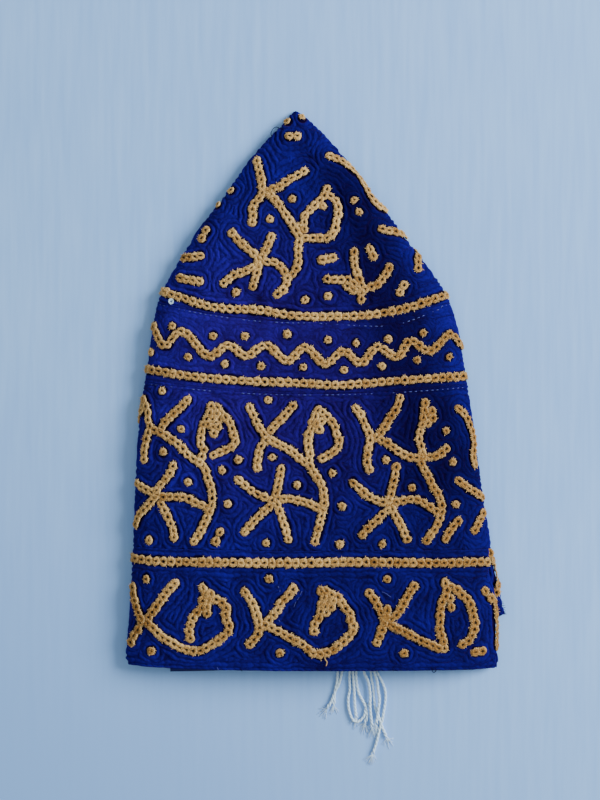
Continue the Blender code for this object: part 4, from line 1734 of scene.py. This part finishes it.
# %% The loose threads at the mouth
THREAD_RADIUS = 1.1
PLY_RADIUS = 0.72
PLY_TURN = 6.0
PLY_SPREAD = 0.42
PLY_SIDES = 7
HEM_STEP_REACH = 7.0
CLOTH_WALL = 2.2
FRAYED_HAIRS = 22
HAIR_LENGTHS = (2.5, 9.0)
THREAD_CHART = """
354,628 343,650 338,671 337,682 335,693 334,705
354,628 346,650 342,671 340,681 336,690 332,700 327,708
356,628 352,650 350,671 350,688 348,699 349,712 353,721 359,721 364,716 366,709
356,628 354,650 353,671 354,690 355,704 356,718
357,628 356,650 356,671 358,688 362,699 366,709 367,716 365,723
358,628 361,650 364,671 368,682 370,692 370,703 371,715 372,727
359,628 367,650 371,671 373,685 374,698 377,711 381,724 387,738
360,628 369,650 374,671 378,687 379,700 378,712 376,724
360,628 370,650 377,671 382,681 385,690 385,703 383,717 380,727 377,740 373,754
"""


def thread_height(x, y, radius):
    hem = back_hem_at(x)
    on_flap = CLOTH_WALL + SLIT_GAP + radius
    share = np.clip((hem - y - radius - SLIT_GAP) / HEM_STEP_REACH, 0, 1)
    return on_flap + (radius + 0.1 - on_flap) * share * share * (3 - 2 * share)


def frayed_end(end, heading, dice):
    """Fine hairs that fan out from the end of a thread."""
    hairs = []
    for _ in range(FRAYED_HAIRS):
        angle = heading + dice.normal(0, 0.5)
        reach = dice.uniform(*HAIR_LENGTHS)
        t = np.linspace(0, 1, 5)[:, None]
        bend = dice.normal(0, 0.9)
        hair = end + t * reach * np.array([math.cos(angle), math.sin(angle), 0.0])
        hair = hair + t ** 2 * bend * np.array([-math.sin(angle), math.cos(angle), 0.0])
        hair[:, 2] = np.maximum(hair[:, 2] * (1 - t[:, 0] * 0.7), 0.2)
        hairs.append(tube_points(hair, 0.13, 4))
    return hairs


def two_plies(route, along):
    """Two thin tubes wound round each other along the route. They part at its end."""
    side = np.cross(along, np.array([0.0, 0.0, 1.0]))
    up = np.cross(side, along)
    turn = 2 * math.pi * 0.8 * np.arange(len(route)) / PLY_TURN
    spread = np.full(len(route), PLY_SPREAD)
    spread[-6:] += np.linspace(0, 0.7, 6)
    width = np.full(len(route), PLY_RADIUS)
    width[-4:] *= np.linspace(0.95, 0.45, 4)
    plies = []
    for ply in range(2):
        angle = turn + math.pi * ply
        offset = side * np.cos(angle)[:, None] + up * np.sin(angle)[:, None]
        path = route + offset * spread[:, None]
        path[:, 2] = np.maximum(path[:, 2], PLY_RADIUS + 0.03)
        plies.append(tube_points(path, width, PLY_SIDES))
    return plies


def make_loose_threads():
    dice = np.random.default_rng(21)
    strands = []
    for number, line in enumerate(THREAD_CHART.strip().splitlines()):
        plan = curve_through(np.stack(down_to(squares_of(line), THREAD_RADIUS), 1), 0.8)
        wobble = ripple(plan[:, 0], plan[:, 1], 30 + number, 14.0)
        plan = plan + 0.35 * wobble[:, None]
        z = thread_height(plan[:, 0], plan[:, 1], THREAD_RADIUS) + 0.25 * number * (number % 2)
        route = np.column_stack([plan, z])
        along = np.gradient(route, axis=0)
        along /= np.linalg.norm(along, axis=1, keepdims=True)
        strands += two_plies(route, along)
        strands += frayed_end(route[-1], math.atan2(along[-1, 1], along[-1, 0]), dice)
    return tubes_object("loose_threads", strands, WHITE_THREAD)


loose_threads = make_loose_threads()

# %% [markdown]
# The knot lies flat on the lower flap, just inside the mouth. Real knots are hard to follow, so
# this one is a thread wound four times round an oval that swings in and out as it goes.

# %% The knot inside the mouth
KNOT_CENTRE = (33.0, -112.5, 4.2)
KNOT_HALF = (4.6, 2.5, 0.9)
KNOT_THREAD = 0.8


def make_knot():
    turns = np.linspace(0, 2 * math.pi * 4, 130)
    swing = 1 + 0.35 * np.sin(turns * 0.75)
    x = KNOT_CENTRE[0] + KNOT_HALF[0] * np.cos(turns) * swing
    y = KNOT_CENTRE[1] + KNOT_HALF[1] * np.sin(turns) * swing
    z = KNOT_CENTRE[2] + KNOT_HALF[2] * np.sin(turns * 1.75 + 0.6)
    wound = tube_points(np.column_stack([x, y, z]), KNOT_THREAD, PLY_SIDES)
    return tubes_object("thread_knot", [wound], WHITE_THREAD)


thread_knot = make_knot()

# %% [markdown]
# The bands are sewn together with small running stitches. Each is a short bowed tube that dips
# into the cloth at both ends, and some have sunk so far that they hardly show.

# %% Running stitches along the seams
SEAM_ONE = "156,303 213,315 257,318 300,322 350,325 382,326 406,322 451,303"
SEAM_TWO = "150,381 189,387 227,390 266,393 312,394 366,393 418,390 466,386"
SEAM_STITCH = 1.9
SEAM_SPACE = 4.0
SEAM_RADIUS = 0.27


def seam_stitches(name, cloth, text, seed):
    """Short stitches that dip into the seam. Some have sunk out of sight."""
    dice = np.random.default_rng(seed)
    arc, level = seen_on(cloth, squares_of(text))
    line = curve_through(np.stack([arc, cloth.at(arc, level)[:, 1]], 1), SEAM_SPACE)
    tubes = []
    for start, end in zip(line[:-1], line[1:]):
        t = np.linspace(0, SEAM_STITCH / SEAM_SPACE, 6)[:, None]
        places = start + (end - start) * t
        level = cloth.level_of(places[:, 0], places[:, 1])
        level = np.minimum(level, cloth.levels[0] - 0.8)
        point, _, _, out = cloth.facing(places[:, 0], level)
        bow = np.sin(np.linspace(0, math.pi, 6)) * 0.5 - 0.55
        sunk = dice.uniform(0.0, 0.55)
        tubes.append(tube_points(point + out * (bow - sunk)[:, None], SEAM_RADIUS, 5))
    return tubes_object(name, tubes, SEAM_THREAD)


crown_seam = seam_stitches("crown_seam_stitches", zigzag, SEAM_ONE, 41)
band_seam = seam_stitches("band_seam_stitches", tall, SEAM_TWO, 42)

# %% [markdown]
# Hand work leaves ends. Each is one fine strand that is charted like the strokes and lies just
# above the cloth, and one that runs past the hem steps down to the table. A tuft is a tangle of
# short turns round one place.

# %% Lint and loose ends
HAIR_RADIUS = 0.16
WHITE_ENDS = """
382,592 385,593 388,595 391,597
302,591 301,593 300,595
299,597 298,599 297,600
296,602 295,604 294,607
278,586 279,588
280,590 280,592
279,620 280,622
217,667 218,669 219,671
"""
GOLD_END = "325,656 325,659 327,662 326,666"
TIP_END = "279,128 276,127 273,129 271,133 272,137"
BLUE_HEM_ENDS = """
431,667 433,672 436,671 435,667
240,669 242,671
392,668 394,671
"""


def over(cloth, squares, lift):
    """A route on the cloth under the given chart places, which may run on past its hem."""
    arc, level = seen_on(cloth, squares)
    level = np.clip(level, cloth.levels[-1] + 1.0, cloth.levels[0] - 1.0)
    point, _, _, out = cloth.facing(arc, level)
    point = point + out * lift
    point[:, 0], point[:, 1] = down_to(squares, point[:, 2])
    return curve_through(point, 0.6)


def strands_over(name, cloth, chart, lift, radius, material):
    tubes = [tube_points(over(cloth, squares_of(line), lift), radius, 5)
             for line in chart.strip().splitlines()]
    return tubes_object(name, tubes, material)


def tuft_over(name, cloth, square, size, hairs, seed, material):
    """A little ball of tangled hairs."""
    dice = np.random.default_rng(seed)
    centre = over(cloth, [square, (square[0] + 1, square[1])], 0.9)[0]
    tubes = []
    for _ in range(hairs):
        turn = dice.uniform(0, 2 * math.pi) + np.linspace(0, dice.uniform(2.0, 5.0), 9)
        tilt = dice.uniform(-0.8, 0.8)
        loop = np.stack([np.cos(turn), np.sin(turn), 0.5 + 0.5 * np.sin(turn + tilt)], 1)
        tubes.append(tube_points(centre + loop * size * dice.uniform(0.4, 1.0), 0.24, 4))
    return tubes_object(name, tubes, material)


def frayed_corner():
    """Short blue ends at the lower corner of the back flap."""
    dice = np.random.default_rng(51)
    tubes = []
    for _ in range(26):
        y = BACK_HEM_RIGHT_Y + dice.uniform(-0.5, 9.0)
        start = np.array([float(read(FLAPS, y, 3)) - 1.2, y, dice.uniform(1.0, 5.6)])
        heading = dice.normal(-0.5, 0.5)
        reach = dice.uniform(1.2, 3.0)
        t = np.linspace(0, 1, 4)[:, None]
        run = np.array([math.cos(heading), math.sin(heading), dice.normal(0, 0.3)])
        tubes.append(tube_points(start + t * reach * run, 0.24 * (1.2 - t[:, 0]), 4))
    return tubes_object("frayed_corner", tubes, BLUE_YARN)


print("a blue end starts with", BLUE_HEM_ENDS.split()[0])

# %% [markdown]
# White hairs lie on the front flap and a white tuft sits on the crown seam. One gold end hangs
# from a flower. Blue ends stick out of the tip and the hem, and the lower corner of the back flap
# is frayed.

# %% Lay them out
white_lint = strands_over("white_lint", front, WHITE_ENDS, 0.4, HAIR_RADIUS, SEAM_THREAD)
white_tuft = tuft_over("white_tuft", crown, (171.0, 301.5), 1.9, 26, 52, WHITE_THREAD)
gold_ends = strands_over("gold_ends", front, GOLD_END, 0.9, 0.45, GOLD_YARN)
blue_ends = strands_over("blue_ends", front, BLUE_HEM_ENDS, 0.3, 0.30, BLUE_YARN)
blue_tip_end = strands_over("blue_tip_end", crown, TIP_END, 0.4, 0.26, BLUE_YARN)
blue_corner = frayed_corner()

# %% [markdown]
# ## Floor, light and hand-over
#
# The cap lies on a plain pale board. Its faint streaks keep it from looking like paper, and a soft
# painted shadow darkens it towards the lower left. It is stage, not part of the cap.

# %% Floor
FLOOR_HALF = 3.0


def make_floor():
    board = Board("pale_floor", 0.55, 0.14, 0.0, (1.0, 1.0, 1.0))
    place = board.place()
    stretched = board.add("ShaderNodeMapping", {"vector_type": "POINT"},
                          {"Vector": place, "Scale": (30.0, 2.0, 1.0)})
    streak = board.noise(stretched, 7.0, 4.0)
    cloud = board.noise(place, 2.2, 2.0)
    shade = streak * 2.6 + cloud * 1.5 - 1.55
    pale = board.mix(shade, rgb(0.295, 0.520, 0.94), rgb(0.350, 0.585, 1.0))
    # Painted shadow: the board's colour darkens towards the lower left.
    corner = board.add("ShaderNodeVectorMath", {"operation": "DOT_PRODUCT"},
                       {0: place, 1: (-0.5, -0.85, 0.0)}, "Value").step(-0.02, 0.36)
    colour = board.mix(corner, pale, rgb(0.255, 0.455, 0.84))
    mesh = bpy.data.meshes.new("floor")
    corners = [(FLOOR_HALF * x, FLOOR_HALF * y, 0) for x, y in ((-1, -1), (1, -1), (1, 1), (-1, 1))]
    mesh.from_pydata(corners, [], [(0, 1, 2, 3)])
    mesh.materials.append(board.finish(colour, streak, 0.02))
    floor = linked("floor", mesh)
    floor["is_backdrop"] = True
    return floor


print("floor:", tuple(round(side, 1) for side in make_floor().dimensions), "m")

# %% [markdown]
# Daylight comes from a large window up on the right, low enough to draw the rows of stitches. A
# weak lamp on the left stands for the room, and a pale sky all round fills the shadows.

# %% Light
def area_light(name, place, aim, size, power, colour):
    data = bpy.data.lights.new(name, "AREA")
    data.shape = "DISK"
    data.size = size
    data.energy = power
    data.color = colour
    lamp = linked(name, data)
    lamp.location = place
    lamp.rotation_euler = (Vector(aim) - Vector(place)).to_track_quat("-Z", "Y").to_euler()


area_light("window", (2.22, 0.90, 1.35), (0.03, 0.06, 0), 1.5, 152.0, (0.83, 0.93, 1.0))
area_light("room", (-1.3, 0.2, 1.9), (0, 0.05, 0), 1.6, 3.0, (0.95, 0.97, 1.0))
world = bpy.data.worlds.new("soft room")
world.use_nodes = True
world.node_tree.nodes["Background"].inputs["Color"].default_value = rgb(0.90, 0.99, 1.0)
world.node_tree.nodes["Background"].inputs["Strength"].default_value = 0.48
bpy.context.scene.world = world
print("lamps:", sorted(lamp.name for lamp in bpy.data.lights if lamp.users))

# %% [markdown]
# Last, each piece is tied to the body of the model that it rides on, and the solid that it stands
# for is hidden.

# %% Hand every piece over
def hand_over(piece, slot, *nodes):
    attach(piece, BODY)
    if nodes:
        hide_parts(*nodes)


CLOTHS = ((crown_cloth, crown), (zigzag_cloth, zigzag), (tall_cloth, tall),
          (front_cloth, front), (back_cloth, back))
for piece, cloth in CLOTHS:
    hand_over(piece, "blue_cloth", cloth.name)
hand_over(loose_threads, "white_cotton", "thread_tassel")
for piece in (thread_knot, crown_seam, band_seam, white_lint, white_tuft):
    hand_over(piece, "white_cotton")
for piece in (*gold_pieces, gold_ends):
    hand_over(piece, "gold_yarn")
for piece in (blue_ends, blue_tip_end, blue_corner):
    hand_over(piece, "blue_cloth")

# %% [markdown]
# The area of each sheet of cloth is worked out from the flat shape it was cut from. The table of
# points already holds it: the girth on each level is the width of the cut there. The lower flap's
# slanting hem takes away a share of its area.

# %% Cut sizes of the cloth
def cloth_area(cloth):
    """The area of one layer, from the table of points."""
    steps = np.abs(np.diff(cloth.levels))
    girths = 0.5 * (cloth.lengths[:-1] + cloth.lengths[1:])
    return float((steps * girths).sum()) * 1e-6


for piece, cloth in CLOTHS:
    area = cloth_area(cloth)
    if cloth is back:
        area *= (SLIT_TOP_Y - np.interp(hem_arcs, *back_hem).mean()) / (SLIT_TOP_Y - BACK_FOOT)

# %% [markdown]
# Last, the triangles of all shown pieces are counted.

# %% Count the triangles and finish
triangles = sum(len(polygon.vertices) - 2 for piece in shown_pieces() if piece.type == "MESH"
                for polygon in piece.data.polygons)
print("triangles in all:", triangles)
